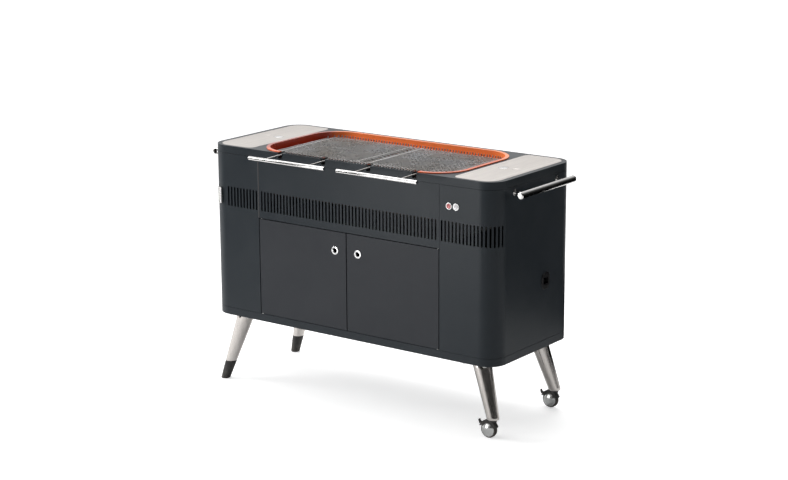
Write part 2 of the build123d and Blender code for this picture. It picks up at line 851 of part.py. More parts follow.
def leg_cone(side_x, side_y, z0, z1, inset=0.0):
    """The leg's taper, cut level at two heights."""
    high, low = base_height + 40, -40.0
    slope = (leg_top_radius - leg_end_radius) / (base_height - leg_end)
    top = Vector(*leg_point(side_x, side_y, high))
    along = Vector(*leg_point(side_x, side_y, low)) - top
    cone = Plane(origin=top, z_dir=along) * Cone(
        leg_top_radius + slope * (high - base_height) - inset,
        leg_end_radius - slope * (leg_end - low) - inset,
        along.length, align=(Align.CENTER, Align.CENTER, Align.MIN))
    reach = half_width + 100
    return cone & block(-reach, reach, -reach, reach, z0, z1)


def leg(side_x, side_y):
    """Tapered stainless tube with a solid plug at its lower end."""
    top = base_height - leg_plate_thickness
    tube = leg_cone(side_x, side_y, leg_end, top)
    tube -= leg_cone(side_x, side_y, leg_end + leg_plug, top, inset=leg_wall)
    x, y, z = leg_point(side_x, side_y, leg_end)
    bore = spigot_radius if side_x < 0 else castor_stem_radius + running_clearance
    return tube - cylinder((x, y, z), (x, y, z + leg_plug), bore)


def leg_plates():
    """Square mounting plates welded to the leg tops."""
    plates = []
    z0, z1 = base_height - leg_plate_thickness, base_height
    for side_x, side_y in leg_centres():
        x, y = side_x * leg_top_x, side_y * leg_top_y
        plate = Pos(x, y, z0) * extrude(RectangleRounded(leg_plate, leg_plate, leg_plate_radius), z1 - z0)
        for dx in (-bolt_offset, bolt_offset):
            for dy in (-bolt_offset, bolt_offset):
                plate -= cylinder((x + dx, y + dy, z0), (x + dx, y + dy, z1), bolt_radius + bolt_clearance)
        plates.append(plate)
    return group(plates)


def leg_bolts():
    """Hexagon bolts with their nuts, four to each leg plate."""
    bolts = []
    under = base_height - leg_plate_thickness
    inside = base_height + sheet
    for x, y in bolt_centres():
        bolt = cylinder((x, y, under), (x, y, inside + bolt_head), bolt_radius)
        for z in (under - bolt_head, inside):
            bolt += Pos(x, y, z) * extrude(RegularPolygon(bolt_head_radius, 6), bolt_head)
        bolts.append(bolt)
    return group(bolts)


def foot(side_y):
    """Black tapered foot with a spigot up into the leg."""
    x, y, z = leg_point(-1, side_y, leg_end)
    return leg_cone(-1, side_y, 0.0, leg_end) + cylinder((x, y, z), (x, y, z + spigot), spigot_radius)


def castor_origin(side_y):
    x, y, _ = leg_point(1, side_y, leg_end)
    return Pos(x, y, 0)


def wheel_bar(y0, y1, radius):
    """A disc or bar on the wheel's axis, in the castor's own frame."""
    centre = (-wheel_trail, wheel_radius)
    return cylinder((centre[0], y0, centre[1]), (centre[0], y1, centre[1]), radius)


def hood_sector(inner, outer, y0, y1):
    """Part of a ring round the wheel, over its top."""
    reach = 2 * outer
    ring = wheel_bar(y0, y1, outer) - wheel_bar(y0, y1, inner)
    lower = block(-wheel_trail - reach, -wheel_trail + reach, y0 - 1, y1 + 1, wheel_radius - reach,
                  wheel_radius + hood_rise)
    return ring - lower


def castor_housing():
    """Swivelling body: stem, collar, hood over the wheel and a domed cheek that carries the axle."""
    gap_radius = wheel_radius + hood_gap
    cheek_back = wheel_side - wheel_width / 2 - cheek_gap
    cheek_front = cheek_back - cheek
    side1 = wheel_side + wheel_width / 2
    ball_radius = (dome_radius ** 2 + dome_rise ** 2) / (2 * dome_rise)
    ball_y = cheek_back - dome_rise + ball_radius
    dome = Pos(-wheel_trail, ball_y, wheel_radius) * Sphere(ball_radius)
    dome &= wheel_bar(cheek_back - dome_rise - 1, cheek_back, dome_radius + 1)
    disc = wheel_bar(cheek_front, cheek_back, dome_radius)
    shell = hood_sector(gap_radius, gap_radius + hood, cheek_front, side1)
    web = hood_sector(dome_radius - 2, gap_radius + hood, cheek_front, cheek_back)
    collar_top = leg_end - castor_play
    collar = cylinder((0, 0, wheel_radius + 2 * hood_rise), (0, 0, collar_top), castor_collar_radius)
    collar -= wheel_bar(-2 * wheel_radius, 2 * wheel_radius, gap_radius)
    stem = cylinder((0, 0, collar_top), (0, 0, leg_end + leg_plug - 2), castor_stem_radius)
    body = fused([dome, disc, shell, web, collar, stem])
    return body + brake_ears()


def brake_pivot(reach):
    """A point out from the wheel's axis along the brake's angle: x and z in the castor's frame."""
    angle = radians(brake_angle)
    return (-wheel_trail + reach * cos(angle), wheel_radius + reach * sin(angle))


def knuckle_span():
    """Front and back faces of the brake's knuckle, in the middle of the wheel's width."""
    return wheel_side - 2 - knuckle / 2, wheel_side - 2 + knuckle / 2


def brake_ears():
    """Two ears and a pin for the brake pedal."""
    x, z = brake_pivot(wheel_radius + hood_gap + hood + brake_reach)
    root_x, root_z = brake_pivot(wheel_radius + hood_gap + hood / 2)
    y0, y1 = knuckle_span()
    tilt = degrees(atan2(root_z - z, root_x - x))
    pieces = [cylinder((x, y0 - knuckle_gap - ear, z), (x, y1 + knuckle_gap + ear, z), brake_pin_radius)]
    for y in (y0 - knuckle_gap - ear, y1 + knuckle_gap):
        pieces.append(cylinder((x, y, z), (x, y + ear, z), ear_radius))
        bar = Box(hypot(root_x - x, root_z - z), ear, 1.7 * ear_radius)
        pieces.append(Pos((x + root_x) / 2, y + ear / 2, (z + root_z) / 2) * Rot(0, -tilt, 0) * bar)
    return fused(pieces)


def castor_brake():
    """Foot tab that turns on the pin behind the hood."""
    x, z = brake_pivot(wheel_radius + hood_gap + hood + brake_reach)
    y0, y1 = knuckle_span()
    tab = Pos(x - knuckle_radius, (y0 + y1) / 2, z + tab_height / 2) * Rot(0, -16, 0) * Box(
        tab_thickness, knuckle - knuckle_gap, tab_height)
    tab = fillet(tab.edges().filter_by(Axis.Y), 0.3 * tab_thickness)
    bore = cylinder((x, y0 - 1, z), (x, y1 + 1, z), brake_pin_radius + running_clearance)
    return (cylinder((x, y0, z), (x, y1, z), knuckle_radius) + tab) - bore


def castor_tyre():
    y0, y1 = wheel_side - wheel_width / 2, wheel_side + wheel_width / 2
    tyre = wheel_bar(y0, y1, wheel_radius)
    tyre = fillet(tyre.edges(), tyre_round)
    return tyre - wheel_bar(y0, y1, tyre_inner)


def castor_hub():
    """Wheel centre with a raised boss, running on the axle."""
    y0, y1 = wheel_side - wheel_width / 2 + 1, wheel_side + wheel_width / 2 - boss_stand
    hub = wheel_bar(y0, y1, tyre_inner) + wheel_bar(y0 - 1, y1 + boss_stand, boss_radius)
    return hub - wheel_bar(y0 - 2, y1 + boss_stand + 1, axle_radius + running_clearance)


def castor_axle():
    """Axle pin riveted into the cheek, with a head outside the wheel."""
    cheek_back = wheel_side - wheel_width / 2 - cheek_gap
    head_face = wheel_side + wheel_width / 2 + castor_play
    head = fillet(wheel_bar(head_face, head_face + axle_head, axle_head_radius).edges().sort_by(Axis.Y)[-1],
                  1.0)
    return wheel_bar(cheek_back, head_face, axle_radius) + head


# ---------------------------------------------------------------- controls
def button(x):
    """Round push cap."""
    cap = cylinder((x, front - button_stand, button_height), (x, front + button_depth, button_height),
                   button_radius)
    return fillet(cap.faces().sort_by(Axis.Y)[0].edges(), 1.2)


def button_bezels():
    rings = []
    for x in (ignition_x, power_x):
        ring = cylinder((x, front - bezel_stand, button_height), (x, front, button_height), bezel_radius)
        ring = fillet(ring.faces().sort_by(Axis.Y)[0].edges(), 0.9)
        ring += cylinder((x, front, button_height), (x, switch_face, button_height), bezel_sleeve_radius)
        bore = cylinder((x, front - bezel_stand, button_height), (x, switch_face, button_height),
                        button_radius + running_clearance)
        rings.append(ring - bore)
    return group(rings)


def switch_bodies():
    """Closed switch housings behind the two push caps."""
    return group([cylinder((x, switch_face, button_height), (x, switch_face + switch_length, button_height),
                           bezel_sleeve_radius) for x in (ignition_x, power_x)])


def corner_ring(inner, outer, z0, z1):
    """A ring about the left front corner's axis."""
    start, end = (-corner_x, -corner_y, z0), (-corner_x, -corner_y, z1)
    return cylinder(start, end, outer) - cylinder(start, end, inner)


def corner_wedge(angle0, angle1, z0, z1, reach=200.0):
    """A wedge from the corner's axis, between two angles round from the front."""
    points = [(-corner_x, -corner_y)]
    for angle in (angle0, (angle0 + angle1) / 2, angle1):
        points.append((-corner_x - reach * sin(radians(angle)), -corner_y - reach * cos(radians(angle))))
    outline = make_face(Polyline(*points, close=True))
    return Pos(0, 0, z0) * extrude(outline, z1 - z0, dir=(0, 0, 1))


def lever_slot():
    """Opening in the shell that the vent lever's stem travels along."""
    half = degrees((lever_stem / 2 + 0.8) / corner_radius)
    z0, z1 = slot_middle - lever_stem / 2 - 1, slot_middle + lever_stem / 2 + 1
    ring = corner_ring(corner_radius - 2 * sheet, corner_radius + 1, z0, z1)
    return ring & corner_wedge(vent_angle - vent_travel - half, vent_angle + half, z0, z1)


def vent_shutter():
    """Curved slide behind the left-hand corner slots; open at rest, shut after half a pitch."""
    outer = corner_radius - sheet - shutter_gap
    z0, z1 = slot_bottom - shutter_margin, slot_top + shutter_margin
    slide = corner_ring(outer - shutter, outer, z0, z1) & corner_wedge(4, 88, z0, z1)
    return slide - [corner_slot(angle, -1) for angle in corner_slot_angles(left_corner_first)]


def vent_lever():
    """Upright grip with a finger groove, on a stem through the shell."""
    outward = (-sin(radians(vent_angle)), -cos(radians(vent_angle)), 0)
    base = (-corner_x, -corner_y, slot_middle)
    inner = corner_radius + lever_stand
    place = Plane(origin=base, x_dir=(0, 0, 1), z_dir=outward)
    grip = place * Pos(0, 0, inner + lever_depth / 2) * Box(lever_height, lever_width, lever_depth)
    grip = fillet(grip.edges(), 2.2)
    grip -= place * Pos(0, 0, inner + lever_depth) * Box(lever_height + 2, lever_groove, lever_groove)
    shutter_face = corner_radius - sheet - shutter_gap
    reach = inner + 1 - shutter_face
    stem = place * Pos(0, 0, shutter_face + reach / 2) * Box(lever_stem, lever_stem, reach)
    return grip + stem


def inlet_box(width, tall, depth, stand):
    """A box about the inlet's axis, from behind the end panel's face to in front of it."""
    return block(half_width - depth, half_width + stand, inlet_y - width / 2, inlet_y + width / 2,
                 inlet_height - tall / 2, inlet_height + tall / 2)


def inlet_body():
    """The part of the power inlet that passes through the end panel."""
    return inlet_box(socket_width + 2 * inlet_wall, socket_tall + 2.5 * inlet_wall, inlet_depth, 0.0)


def power_inlet():
    """Recessed mains inlet with three blades; its cord is not part of the object."""
    flange = Plane(origin=(half_width, inlet_y, inlet_height), x_dir=(0, 1, 0), z_dir=(1, 0, 0))
    inlet = extrude(flange * RectangleRounded(inlet_width, inlet_tall, 0.4 * inlet_width), inlet_flange)
    inlet = fillet(inlet.faces().sort_by(Axis.X)[-1].edges(), inlet_flange / 2)
    inlet += inlet_body()
    inlet -= inlet_box(socket_width, socket_tall, socket_depth, inlet_flange + 1)
    for dy, dz in ((-7, -2), (0, 4), (7, -2)):
        y, z = inlet_y + dy, inlet_height + dz
        inlet += block(half_width - socket_depth - 1, half_width - socket_depth + blade_length,
                       y - 1, y + 1, z - 2.5, z + 2.5)
    return inlet


def control_box():
    """Closed housing on the right partition for the ignition and motor electronics."""
    x0 = partition_x + sheet
    half = control_height / 2
    case = block(x0, x0 + control_depth, -half, half, inlet_height - half, inlet_height + half)
    return fillet(case.faces().sort_by(Axis.X)[-1].edges(), 4.0)


# ---------------------------------------------------------------- spit posts
def spit_post():
    """Right-hand telescopic post: flush cap, tube and a cross hole for the spit under the cap."""
    cap_base = overall_height - pocket
    bottom = overall_height - spit_length
    cap = cylinder((spit_x, spit_y, cap_base), (spit_x, spit_y, cap_base + plate_thickness),
                   spit_cap_radius)
    cap = fillet(cap.faces().sort_by(Axis.Z)[-1].edges(), 0.8)
    tube = cylinder((spit_x, spit_y, bottom), (spit_x, spit_y, cap_base), spit_radius)
    tube -= cylinder((spit_x, spit_y, bottom), (spit_x, spit_y, cap_base - 2 * spit_hole_drop),
                     spit_radius - spit_wall)
    hole_z = cap_base - spit_hole_drop
    tube -= cylinder((spit_x - 2 * spit_radius, spit_y, hole_z), (spit_x + 2 * spit_radius, spit_y, hole_z),
                     spit_hole_radius)
    return cap + tube


def post_guides():
    """Guide tubes that hang from the deck, one round each spit post."""
    guides = []
    top = overall_height - deck
    bottom = top - guide_length
    bore = spit_radius + running_clearance
    for side in (-1, 1):
        x = side * spit_x
        guide = cylinder((x, spit_y, bottom), (x, spit_y, top), bore + guide_wall)
        guide += cylinder((x, spit_y, top - frame_wall), (x, spit_y, top),
                          bore + guide_wall + guide_flange)
        guides.append(guide - cylinder((x, spit_y, bottom), (x, spit_y, top), bore))
    return group(guides)


def build_all():
    """Every node by name."""
    nodes = {
        "base_pan": base_pan(),
        "left_side_shell": left_side_shell(),
        "right_side_shell": right_side_shell(),
        "front_fascia": front_fascia(),
        "back_panel": back_panel(),
        "left_partition": partition(-1),
        "right_partition": partition(1),
        "heat_shield": heat_shield(),
        "storage_shelf": storage_shelf(),
        "top_frame": top_frame(),
        "right_prep_plate": prep_plate(),
        "left_prep_plate": mirrored_x(prep_plate()),
        "firebox": firebox(),
        "charcoal_tray": charcoal_tray(),
        "heating_element": heating_element(),
        "element_clamps": element_clamps(),
        "handle_posts": handle_posts(),
        "handle_caps": handle_caps(),
        "door_pins": door_pins(),
        "door_catches": door_catches(),
        "leg_plates": leg_plates(),
        "leg_bolts": leg_bolts(),
        "ignition_button": button(ignition_x),
        "power_button": button(power_x),
        "button_bezels": button_bezels(),
        "switch_bodies": switch_bodies(),
        "vent_lever": vent_lever(),
        "vent_shutter": vent_shutter(),
        "power_inlet": power_inlet(),
        "control_box": control_box(),
        "right_spit_post": spit_post(),
        "left_spit_post": mirrored_x(spit_post()),
        "post_guides": post_guides(),
    }
    for name, side in (("left", -1), ("right", 1)):
        nodes[name + "_grill"] = grill(side)
        nodes[name + "_grill_handle"] = grill_handle(side)
        nodes[name + "_door"] = door(side)
        nodes[name + "_door_ring"] = door_ring(side)
        nodes[name + "_side_handle"] = side_handle(side)
        nodes[name + "_front_leg"] = leg(side, -1)
        nodes[name + "_back_leg"] = leg(side, 1)
    for name, side_y in (("front", -1), ("back", 1)):
        place = castor_origin(side_y)
        nodes[name + "_foot"] = foot(side_y)
        nodes[name + "_castor_housing"] = place * castor_housing()
        nodes[name + "_castor_axle"] = place * castor_axle()
        nodes[name + "_castor_hub"] = place * castor_hub()
        nodes[name + "_castor_tyre"] = place * castor_tyre()
        nodes[name + "_castor_brake"] = place * castor_brake()
    return nodes


os.makedirs("parts", exist_ok=True)
for node, shape in build_all().items():
    export_step(Pos(0, centre_shift, 0) * shape, "parts/" + node + ".step")
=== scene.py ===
# %% [markdown]
# # A cabinet charcoal grill
# The real grill is a powder-coated steel cabinet on four splayed tubes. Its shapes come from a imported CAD
# model, which is loaded as a fixed frame. Sheet-metal pieces keep their CAD mesh and get a better finish.
# Turned, drawn and bent pieces, where faceting would show in a reflection, are built again here as smooth
# surfaces, and each one stands in for its CAD piece.

# %% Load the frame
import json
from math import cos, pi, radians, sin

import bmesh
import bpy
import numpy as np
from mathutils import Matrix, Vector


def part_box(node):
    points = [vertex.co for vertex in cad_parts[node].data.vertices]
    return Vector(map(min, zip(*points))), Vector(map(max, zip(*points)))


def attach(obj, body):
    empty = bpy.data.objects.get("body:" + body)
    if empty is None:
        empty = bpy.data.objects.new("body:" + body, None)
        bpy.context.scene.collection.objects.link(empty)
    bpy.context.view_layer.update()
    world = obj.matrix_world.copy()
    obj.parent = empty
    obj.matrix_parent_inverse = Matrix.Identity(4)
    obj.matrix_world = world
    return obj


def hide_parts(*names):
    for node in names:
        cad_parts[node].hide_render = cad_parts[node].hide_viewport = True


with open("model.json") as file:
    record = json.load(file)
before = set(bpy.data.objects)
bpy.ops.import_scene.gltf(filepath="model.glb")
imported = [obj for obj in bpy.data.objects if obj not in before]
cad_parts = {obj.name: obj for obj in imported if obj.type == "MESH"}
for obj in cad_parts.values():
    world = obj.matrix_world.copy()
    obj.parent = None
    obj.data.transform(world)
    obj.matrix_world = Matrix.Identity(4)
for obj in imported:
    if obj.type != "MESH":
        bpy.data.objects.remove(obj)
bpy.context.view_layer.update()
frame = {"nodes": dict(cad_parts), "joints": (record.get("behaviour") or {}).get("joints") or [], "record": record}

nodes = frame["nodes"]
joints = {joint["name"]: joint for joint in frame["joints"]}
deck_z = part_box("top_frame")[1].z
print("nodes", len(nodes), "deck at", round(deck_z, 4), "m")

# %% [markdown]
# ## Surfaces from arrays
# Every new piece is one or more grids of points. A grid's columns always close on themselves, because each
# piece has a closed section: a rod, a tube, a turned part or a thin plate. The rows follow the rod or the
# turned outline. Working on whole arrays keeps the formula readable and is far quicker than adding vertices one
# by one.

# %% Grids to meshes
def unit(vectors):
    """Vectors divided by their own lengths."""
    return vectors / np.linalg.norm(vectors, axis=-1, keepdims=True)


def grid_faces(rows, columns, wrap_rows, start):
    """Quads between neighbouring rows and columns: corner (r, c) joins (r+1, c), (r+1, c+1), (r, c+1)."""
    last = rows if wrap_rows else rows - 1
    r, c = np.meshgrid(np.arange(last), np.arange(columns), indexing="ij")
    r_next, c_next = (r + 1) % rows, (c + 1) % columns
    corners = [r * columns + c, r_next * columns + c, r_next * columns + c_next, r * columns + c_next]
    return np.stack(corners, axis=-1).reshape(-1, 4) + start


def make_piece(name, grids, slot, body, stands_for=(), sharp_angle=38, wrap_rows=False):
    """One mesh from grids shaped (rows, columns, 3), or stacks of them shaped (count, rows, columns, 3)."""
    points, faces, start = [], [], 0
    for grid in grids:
        for single in grid.reshape(-1, *grid.shape[-3:]):
            points.append(single.reshape(-1, 3))
            faces.append(grid_faces(single.shape[0], single.shape[1], wrap_rows, start))
            start += single.shape[0] * single.shape[1]
    mesh = bpy.data.meshes.new(name)
    mesh.from_pydata(np.concatenate(points), [], np.concatenate(faces).tolist())
    shape = bmesh.new()
    shape.from_mesh(mesh)
    bmesh.ops.remove_doubles(shape, verts=shape.verts, dist=2e-6)
    bmesh.ops.recalc_face_normals(shape, faces=shape.faces)
    shape.to_mesh(mesh)
    shape.free()
    mesh.polygons.foreach_set("use_smooth", np.ones(len(mesh.polygons), dtype=bool))
    mesh.set_sharp_from_angle(angle=radians(sharp_angle))
    piece = bpy.data.objects.new(name, mesh)
    bpy.context.scene.collection.objects.link(piece)
    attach(piece, body)
    if stands_for:
        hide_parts(*stands_for)
    piece.data.materials.append(materials[slot])
    print(name, "has", len(mesh.polygons), "faces and moves with", body)


# %% Rods and turned parts
def rounded_route(points, bend, steps=6):
    """Straight runs with each corner rounded: (1-t)^2 start + 2t(1-t) corner + t^2 end, over 0 <= t <= 1."""
    points = np.array(points, float)
    t = np.linspace(0, 1, steps)[:, None]
    route = [points[:1]]
    for before, corner, after in zip(points[:-2], points[1:-1], points[2:]):
        start = corner + unit(before - corner) * bend
        end = corner + unit(after - corner) * bend
        route.append((1 - t) ** 2 * start + 2 * t * (1 - t) * corner + t ** 2 * end)
    route.append(points[-1:])
    return np.concatenate(route)


def rod(route, radius, side, columns=12, end_round=0.0008):
    """A round bar: point + radius (side cos a + up sin a), with its ends drawn in to a closed, eased face."""
    tangent = unit(np.gradient(route, axis=0))
    side = np.broadcast_to(unit(np.array(side, float)), tangent.shape)
    up = np.cross(tangent, side)
    last = len(route) - 1
    order = np.array([0, 0, 0, *range(1, last), last, last, last])
    radii = np.full(len(order), float(radius))
    radii[[0, -1]] = 0.0
    radii[[1, -2]] = radius - end_round
    centres = route[order].copy()
    centres[2] += tangent[0] * end_round
    centres[-3] -= tangent[-1] * end_round
    angle = np.linspace(0, 2 * pi, columns, endpoint=False)[None, :, None]
    spokes = side[order][:, None] * np.cos(angle) + up[order][:, None] * np.sin(angle)
    return centres[:, None] + radii[:, None, None] * spokes


def turned(profile, centre, axis, columns=64):
    """A turned part: centre + axis h + r (across cos a + beyond sin a) for each (h, r) of the profile."""
    profile = np.array(profile, float)
    axis = unit(np.array(axis, float))
    across = unit(np.cross(axis, (0.31, 0.17, 0.93)))
    beyond = np.cross(axis, across)
    angle = np.linspace(0, 2 * pi, columns, endpoint=False)[None, :, None]
    spokes = across * np.cos(angle) + beyond * np.sin(angle)
    heights, radii = profile[:, 0, None, None], profile[:, 1, None, None]
    return np.array(centre, float) + axis * heights + radii * spokes


def arc(middle_h, middle_r, radius, start, end, steps=7):
    """Profile points on a circle: (h, r) = middle + radius (sin a, cos a) from start to end in degrees."""
    angle = np.radians(np.linspace(start, end, steps))
    return np.stack([middle_h + radius * np.sin(angle), middle_r + radius * np.cos(angle)], axis=-1)


# %% [markdown]
# ## Patterns shared by the finishes
# Paint, moulded plastic, drawn wire and brushed sheet differ in scale and direction, but each is the same few
# effects mixed in other amounts. Each effect is a node group, so a change to one reaches every finish.
# The groups hand out only masks and heights; the shader stays in the material.

# %% Node helpers
class Wiring:
    """Adds nodes to one tree, setting or linking the named inputs."""

    def __init__(self, tree):
        self.tree = tree

    def add(self, kind, inputs=(), **settings):
        """A new node: each input is linked if it is given a socket, and otherwise set to the value."""
        node = self.tree.nodes.new(kind)
        for key, value in settings.items():
            setattr(node, key, value)
        for key, value in dict(inputs).items():
            if isinstance(value, bpy.types.NodeSocket):
                self.tree.links.new(value, node.inputs[key])
            else:
                node.inputs[key].default_value = value
        return node

    def noise(self, vector, scale, detail=2.0, roughness=0.5):
        """Fractal noise between 0 and 1, with about scale features in each metre."""
        return self.add("ShaderNodeTexNoise", {"Vector": vector, "Scale": scale, "Detail": detail,
                                               "Roughness": roughness}).outputs["Fac"]

    def math(self, operation, first, second=0.0, clamp=False):
        """first (operation) second, held between 0 and 1 if clamp is set."""
        return self.add("ShaderNodeMath", {0: first, 1: second}, operation=operation,
                        use_clamp=clamp).outputs[0]

    def remap(self, value, low, high, to_low=0.0, to_high=1.0):
        """A straight ramp that takes low..high to to_low..to_high and stays level beyond both."""
        return self.add("ShaderNodeMapRange", {"Value": value, "From Min": low, "From Max": high,
                                               "To Min": to_low, "To Max": to_high}).outputs["Result"]

    def blend(self, mask, first, second):
        """(1 - mask) first + mask second, for colours."""
        node = self.add("ShaderNodeMix", data_type="RGBA")
        for socket, value in ((node.inputs[0], mask), (node.inputs[6], first), (node.inputs[7], second)):
            if isinstance(value, bpy.types.NodeSocket):
                self.tree.links.new(value, socket)
            else:
                socket.default_value = value
        return node.outputs[2]


def start_group(name, inputs, outputs):
    """An empty effect with named inputs (name, kind, default) and number outputs."""
    tree = bpy.data.node_groups.new(name, "ShaderNodeTree")
    for label, kind, value in inputs:
        socket = tree.interface.new_socket(label, in_out="INPUT", socket_type="NodeSocket" + kind)
        if value is not None:
            socket.default_value = value
    for label in outputs:
        tree.interface.new_socket(label, in_out="OUTPUT", socket_type="NodeSocketFloat")
    wiring = Wiring(tree)
    source = tree.nodes.new("NodeGroupInput").outputs
    sink = tree.nodes.new("NodeGroupOutput").inputs
    return wiring, source, sink


# %% Smudges: broad soft patches left by hands, heat and weather
def smudges_group():
    """Mask = amount x broad noise, stretched in contrast so that the patches stand apart."""
    wiring, source, sink = start_group("smudges", [("Vector", "Vector", None), ("Scale", "Float", 6.0),
                                                   ("Amount", "Float", 0.5)], ["Mask"])
    broad = wiring.noise(source["Vector"], source["Scale"], detail=5.0, roughness=0.6)
    shaped = wiring.remap(broad, 0.35, 0.7)
    wiring.tree.links.new(wiring.math("MULTIPLY", shaped, source["Amount"]), sink["Mask"])
    return wiring.tree


# %% Pebble: the fine skin of powder coat and moulded plastic
def pebble_group():
    """Height = fine noise + 0.7 x noise of about three times the size; Fleck picks out the fine peaks."""
    wiring, source, sink = start_group("pebble", [("Vector", "Vector", None), ("Scale", "Float", 900.0)],
                                       ["Height", "Fleck"])
    fine = wiring.noise(source["Vector"], source["Scale"], detail=1.0)
    coarse = wiring.noise(source["Vector"], wiring.math("MULTIPLY", source["Scale"], 0.3), detail=1.0)
    wiring.tree.links.new(wiring.math("ADD", fine, wiring.math("MULTIPLY", coarse, 0.7)), sink["Height"])
    wiring.tree.links.new(wiring.remap(fine, 0.62, 0.78), sink["Fleck"])
    return wiring.tree


# %% Brushing: long scratches, made by stretching noise along one direction
def brushing_group():
    """Height is the hair noise alone; Shade = 0.6 hair + 0.4 streak. The caller stretches the vector."""
    wiring, source, sink = start_group("brushing", [("Vector", "Vector", None), ("Scale", "Float", 1.0)],
                                       ["Height", "Shade"])
    hair = wiring.noise(source["Vector"], wiring.math("MULTIPLY", source["Scale"], 900.0), detail=3.0,
                        roughness=0.7)
    streak = wiring.noise(source["Vector"], wiring.math("MULTIPLY", source["Scale"], 130.0), detail=2.0)
    wiring.tree.links.new(hair, sink["Height"])
    both = wiring.math("ADD", wiring.math("MULTIPLY", hair, 0.6), wiring.math("MULTIPLY", streak, 0.4))
    wiring.tree.links.new(wiring.remap(both, 0.36, 0.64), sink["Shade"])
    return wiring.tree


# %% Settled dust: strongest low down, broken up by noise
def dust_group():
    """Mask = (1 - z / top) x patchy noise, and nothing above the top."""
    wiring, source, sink = start_group("settled dust", [("Vector", "Vector", None), ("Top", "Float", 0.15)],
                                       ["Mask"])
    height = wiring.add("ShaderNodeSeparateXYZ", {"Vector": source["Vector"]}).outputs["Z"]
    low = wiring.math("SUBTRACT", 1.0, wiring.math("DIVIDE", height, source["Top"]), clamp=True)
    patches = wiring.noise(source["Vector"], 55.0, detail=6.0, roughness=0.65)
    wiring.tree.links.new(wiring.math("MULTIPLY", low, wiring.remap(patches, 0.3, 0.75)), sink["Mask"])
    return wiring.tree


groups = {"smudges": smudges_group(), "pebble": pebble_group(), "brushing": brushing_group(),
          "dust": dust_group()}
print("shared effects", sorted(groups))

# %% [markdown]
# ## Finishes
# A finish starts from a Principled shader whose fixed numbers sit on its own sockets. What varies over the
# surface, which is the tone, the gloss and the small bumps, comes from the shared effects, read in Object
# coordinates so that the pattern is the same size on every piece.

# %% Start of a finish
class Finish(Wiring):
    """A material with a Principled shader and the wiring that its patterns need."""

    def __init__(self, name, metallic=0.0, coat=0.0, coat_roughness=0.1, ior=1.5, specular=0.5):
        """A new material whose constants are set on the shader's own sockets."""
        self.material = bpy.data.materials.new(name)
        self.material.use_nodes = True
        super().__init__(self.material.node_tree)
        self.shader = self.tree.nodes["Principled BSDF"]
        for key, value in (("Metallic", metallic), ("Coat Weight", coat), ("Coat Roughness", coat_roughness),
                           ("IOR", ior), ("Specular IOR Level", specular)):
            self.shader.inputs[key].default_value = value
        self.place = self.add("ShaderNodeTexCoord").outputs["Object"]

    def effect(self, name, vector=None, **inputs):
        """One shared effect, read at the object's own place unless another vector is given."""
        node = self.add("ShaderNodeGroup", node_tree=groups[name])
        self.tree.links.new(vector or self.place, node.inputs["Vector"])
        for key, value in inputs.items():
            node.inputs[key].default_value = value
        return node.outputs

    def stretched(self, scale):
        """Object coordinates squeezed along one axis, so that noise draws out into hairs along it."""
        return self.add("ShaderNodeMapping", {"Vector": self.place, "Scale": scale}).outputs["Vector"]

    def colour(self, socket):
        """The socket becomes the base colour."""
        self.tree.links.new(socket, self.shader.inputs["Base Color"])

    def gloss(self, mask, low, high):
        """Roughness = low + mask (high - low)."""
        self.tree.links.new(self.remap(mask, 0.0, 1.0, low, high), self.shader.inputs["Roughness"])

    def bumps(self, height, distance, strength=0.5):
        """Small relief: a height of 1 stands about distance metres proud. Hands the finished material back."""
        bump = self.add("ShaderNodeBump", {"Height": height, "Distance": distance, "Strength": strength})
        self.tree.links.new(bump.outputs["Normal"], self.shader.inputs["Normal"])
        return self.material


def tone(red, green, blue):
    """An opaque colour from linear parts."""
    return (red, green, blue, 1.0)


# %% Powder-coated steel: satin, with a pebbled skin and faint handling marks
def powder_coat(name, dark, light, rough):
    """Smudges lift the colour from dark to light and the roughness by 0.09; pale flecks are mixed in."""
    finish = Finish(name, specular=0.24)
    skin = finish.effect("pebble", Scale=1500.0)
    marks = finish.effect("smudges", Scale=5.0, Amount=0.8)["Mask"]
    base = finish.blend(marks, dark, light)
    finish.colour(finish.blend(finish.math("MULTIPLY", skin["Fleck"], 0.15), base, tone(0.10, 0.11, 0.12)))
    finish.gloss(marks, rough, rough + 0.09)
    return finish.bumps(skin["Height"], 0.00006, 0.35)


# %% Brushed stainless sheet and tube
def brushed(name, dark, light, along, rough, roughness_range=0.12, depth=0.00002):
    """Hairs set the colour and, with the smudges, the roughness. along is the squeeze on each axis: small on
    the axis that the hairs follow."""
    finish = Finish(name, metallic=1.0)
    hairs = finish.effect("brushing", vector=finish.stretched(along))
    marks = finish.effect("smudges", Scale=9.0, Amount=0.5)["Mask"]
    finish.colour(finish.blend(hairs["Shade"], dark, light))
    finish.gloss(finish.math("ADD", hairs["Shade"], marks, clamp=True), rough, rough + roughness_range)
    return finish.bumps(hairs["Height"], depth, 0.4)


# %% Polished tube and chrome: almost a mirror, with faint wiping marks
def polished(name, dark, light, rough=0.06):
    """Smudges darken the colour and dull the mirror a little; the bumps are a few micrometres."""
    finish = Finish(name, metallic=1.0)
    marks = finish.effect("smudges", Scale=22.0, Amount=1.0)["Mask"]
    hairs = finish.effect("brushing", Scale=0.5)
    finish.colour(finish.blend(marks, light, dark))
    finish.gloss(marks, rough, rough + 0.12)
    return finish.bumps(hairs["Height"], 0.000004, 0.3)


# %% Fired enamel: glossy orange glass on steel, mottled, sooty low in the firebox, with painted light on the back wall and painted shade on the left-hand end wall
# Where the painted light on the back wall and the painted shade on the left-hand end wall begin and reach full
# strength.
PAINTED_LIGHT_FROM, PAINTED_LIGHT_FULL = 0.10, 0.19
PAINTED_SHADE_FROM, PAINTED_SHADE_FULL = -0.375, -0.395


